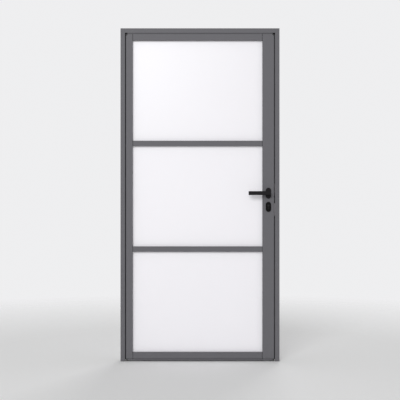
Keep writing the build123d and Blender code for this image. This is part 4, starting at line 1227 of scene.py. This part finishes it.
@dataclass
class ProfileCylinder(SubAssembly):
    """The lock cylinder with its two plugs and its cam.

    Attributes:
        edge: The width of its body's rounded edges.
        plug_edge: The width of the plugs' rounded edges.
    """

    edge: float = 0.0004
    plug_edge: float = 0.0003

    def build(self) -> None:
        """Builds and dresses the cylinder."""
        f = self.finishes
        self.refine("cylinder_body", "leaf", "black_brass", f.cylinder, self.edge)
        for face in Face:
            node = f"{face.value}_plug"
            self.refine(node, "cylinder_core", "black_brass", f.plug, self.plug_edge)
        self.dress(f.zinc, "cylinder_cam")


@dataclass
class LeverSet(SubAssembly):
    """The levers with their rosettes, escutcheons and fixings.

    Attributes:
        edge: The width of the levers' rounded edges.
        cover_edge: The width of the rosettes' and escutcheons' rounded edges.
    """

    edge: float = 0.0004
    cover_edge: float = 0.0002

    def build(self) -> None:
        """Builds and dresses the furniture of both faces."""
        f = self.finishes
        for face in Face:
            side = face.value
            self.refine(f"{side}_lever", "handle", "black_metal", f.black, self.edge)
            self.refine(f"{side}_rosette", "leaf", "black_metal", f.black, self.cover_edge)
            self.refine(f"{side}_escutcheon", "leaf", "black_metal", f.escutcheon, self.cover_edge)
        self.dress(f.plastic, "rose_bases")
        self.dress(f.zinc, "furniture_screws", "spindle", "grub_screws")


@dataclass(frozen=True)
class Lamp:
    """One soft square lamp.

    Attributes:
        name: Its name.
        place: Where it stands.
        aim: Where it points.
        size: The length of its sides.
        power: Its power in watts.
        colour: Its colour.
    """

    name: str
    place: Point
    aim: Point
    size: float
    power: float
    colour: Colour = (1.0, 1.0, 1.0)

    def build(self) -> None:
        """Sets up the lamp."""
        data = bpy.data.lights.new(self.name, "AREA")
        data.size = self.size
        data.energy = self.power
        data.color = self.colour
        lamp = placed(self.name, data)
        lamp.location = self.place
        away = Vector(self.place) - Vector(self.aim)
        lamp.rotation_euler = away.to_track_quat("Z", "Y").to_euler()
        lamp.visible_camera = False


@dataclass
class Studio:
    """The camera, the lamps, the world and the floor.

    Attributes:
        lens: The camera's focal length in millimetres.
        sensor: The width of the camera's picture in millimetres.
        front: Where the frame's front lies along Y.
        distance: How far the camera stands from the frame's front.
        eye: The camera's height.
        ambient: The world's light on the object.
        backdrop: The colour seen behind the object.
        floor: The floor's colour.
        reach: How far the floor reaches from the middle to each side.
        fade_start: How far from the middle the floor starts to fade.
        fade: The length over which it fades.
        lamps: The lamps, far away so that they light the whole height evenly.
    """

    lens: float = 85.0
    sensor: float = 36.0
    front: float = -0.025
    distance: float = 5.94
    eye: float = 1.015
    ambient: float = 0.45
    backdrop: Colour = (0.86, 0.86, 0.87)
    floor: Colour = (0.88, 0.88, 0.88)
    reach: float = 8.0
    fade_start: float = 1.6
    fade: float = 2.6
    lamps: tuple[Lamp, ...] = (
        Lamp("key", (-2.7, -12.0, 5.2), (0.0, 0.0, 1.05), 5.0, 740.0, (0.985, 1.0, 1.0)),
        Lamp("fill", (1.0, -12.0, 3.8), (0.0, 0.0, 0.9), 6.0, 50.0, (1.0, 0.95, 0.98)),
        Lamp("low", (-0.6, -10.0, 0.6), (0.0, 0.0, 0.1), 2.4, 40.0, (1.0, 0.98, 1.0)),
        Lamp("rear_key", (2.7, 12.0, 5.2), (0.0, 0.0, 1.05), 5.0, 640.0),
    )

    def camera(self) -> None:
        """The camera, level and straight in front of the door."""
        data = bpy.data.cameras.new("camera")
        data.lens = self.lens
        data.sensor_width = self.sensor
        camera = placed("camera", data)
        camera.location = (0.0, self.front - self.distance, self.eye)
        camera.rotation_euler = (math.pi / 2, 0.0, 0.0)
        bpy.context.scene.camera = camera

    def world(self) -> None:
        """Even light all round, and a pale ground where it is seen, mirrored or seen through."""
        world = bpy.data.worlds.new("studio")
        world.use_nodes = True
        bpy.context.scene.world = world
        nodes = Nodes(world.node_tree)
        nodes.tree.nodes.clear()
        path = nodes.add("ShaderNodeLightPath")
        straight = Wave(nodes, path.outputs["Is Camera Ray"])
        mirrored = Wave(nodes, path.outputs["Is Glossy Ray"])
        passed = Wave(nodes, path.outputs["Is Transmission Ray"])
        seen = straight.either(mirrored).either(passed)
        inputs = {"Color": (1.0, 1.0, 1.0), "Strength": self.ambient}
        light = nodes.add("ShaderNodeBackground", None, inputs)
        ground = nodes.add("ShaderNodeBackground", None, {"Color": self.backdrop})
        inputs = {0: seen, 1: light.outputs[0], 2: ground.outputs[0]}
        mixed = nodes.add("ShaderNodeMixShader", None, inputs)
        nodes.add("ShaderNodeOutputWorld", None, {"Surface": mixed.outputs[0]})

    def ground(self) -> None:
        """A pale floor that fades into the backdrop at a distance."""
        sheet = Sheet("studio floor")
        length = sheet.add("ShaderNodeVectorMath", {"operation": "LENGTH"}, {0: sheet.place})
        faded = Wave(sheet, length.outputs["Value"]).over(self.fade_start, self.fade)
        solid = sheet.add("ShaderNodeBsdfDiffuse", None, {"Color": self.floor})
        clear = sheet.add("ShaderNodeBsdfTransparent")
        inputs = {0: faded, 1: solid.outputs[0], 2: clear.outputs[0]}
        mixed = sheet.add("ShaderNodeMixShader", None, inputs)
        sheet.add("ShaderNodeOutputMaterial", None, {"Surface": mixed.outputs[0]})
        mesh = bpy.data.meshes.new("studio_floor")
        far, near = self.reach, -self.reach
        corners = [(near, near, 0), (far, near, 0), (far, far, 0), (near, far, 0)]
        mesh.from_pydata(corners, [], [(0, 1, 2, 3)])
        mesh.materials.append(sheet.material)
        floor = placed("studio_floor", mesh)

    def build(self) -> None:
        """Sets up the whole studio."""
        bpy.context.scene.view_settings.view_transform = "Standard"
        self.camera()
        self.world()
        self.ground()
        for lamp in self.lamps:
            lamp.build()
        LOG.info("studio ready")


def main() -> None:
    """Builds the studio and then the door's groups in order."""
    logging.basicConfig(level=logging.INFO, format="%(name)s: %(message)s")
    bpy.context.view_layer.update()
    Studio().build()
    finishes = Finishes()
    groups = (OuterFrame, Hinges, LeafFrame, Glazing)
    groups += (SweepBrush, MortiseLock, ProfileCylinder, LeverSet)
    for group in groups:
        LOG.info("building %s", group.__name__)
        group(finishes).build()


if __name__ == "__main__":
    main()
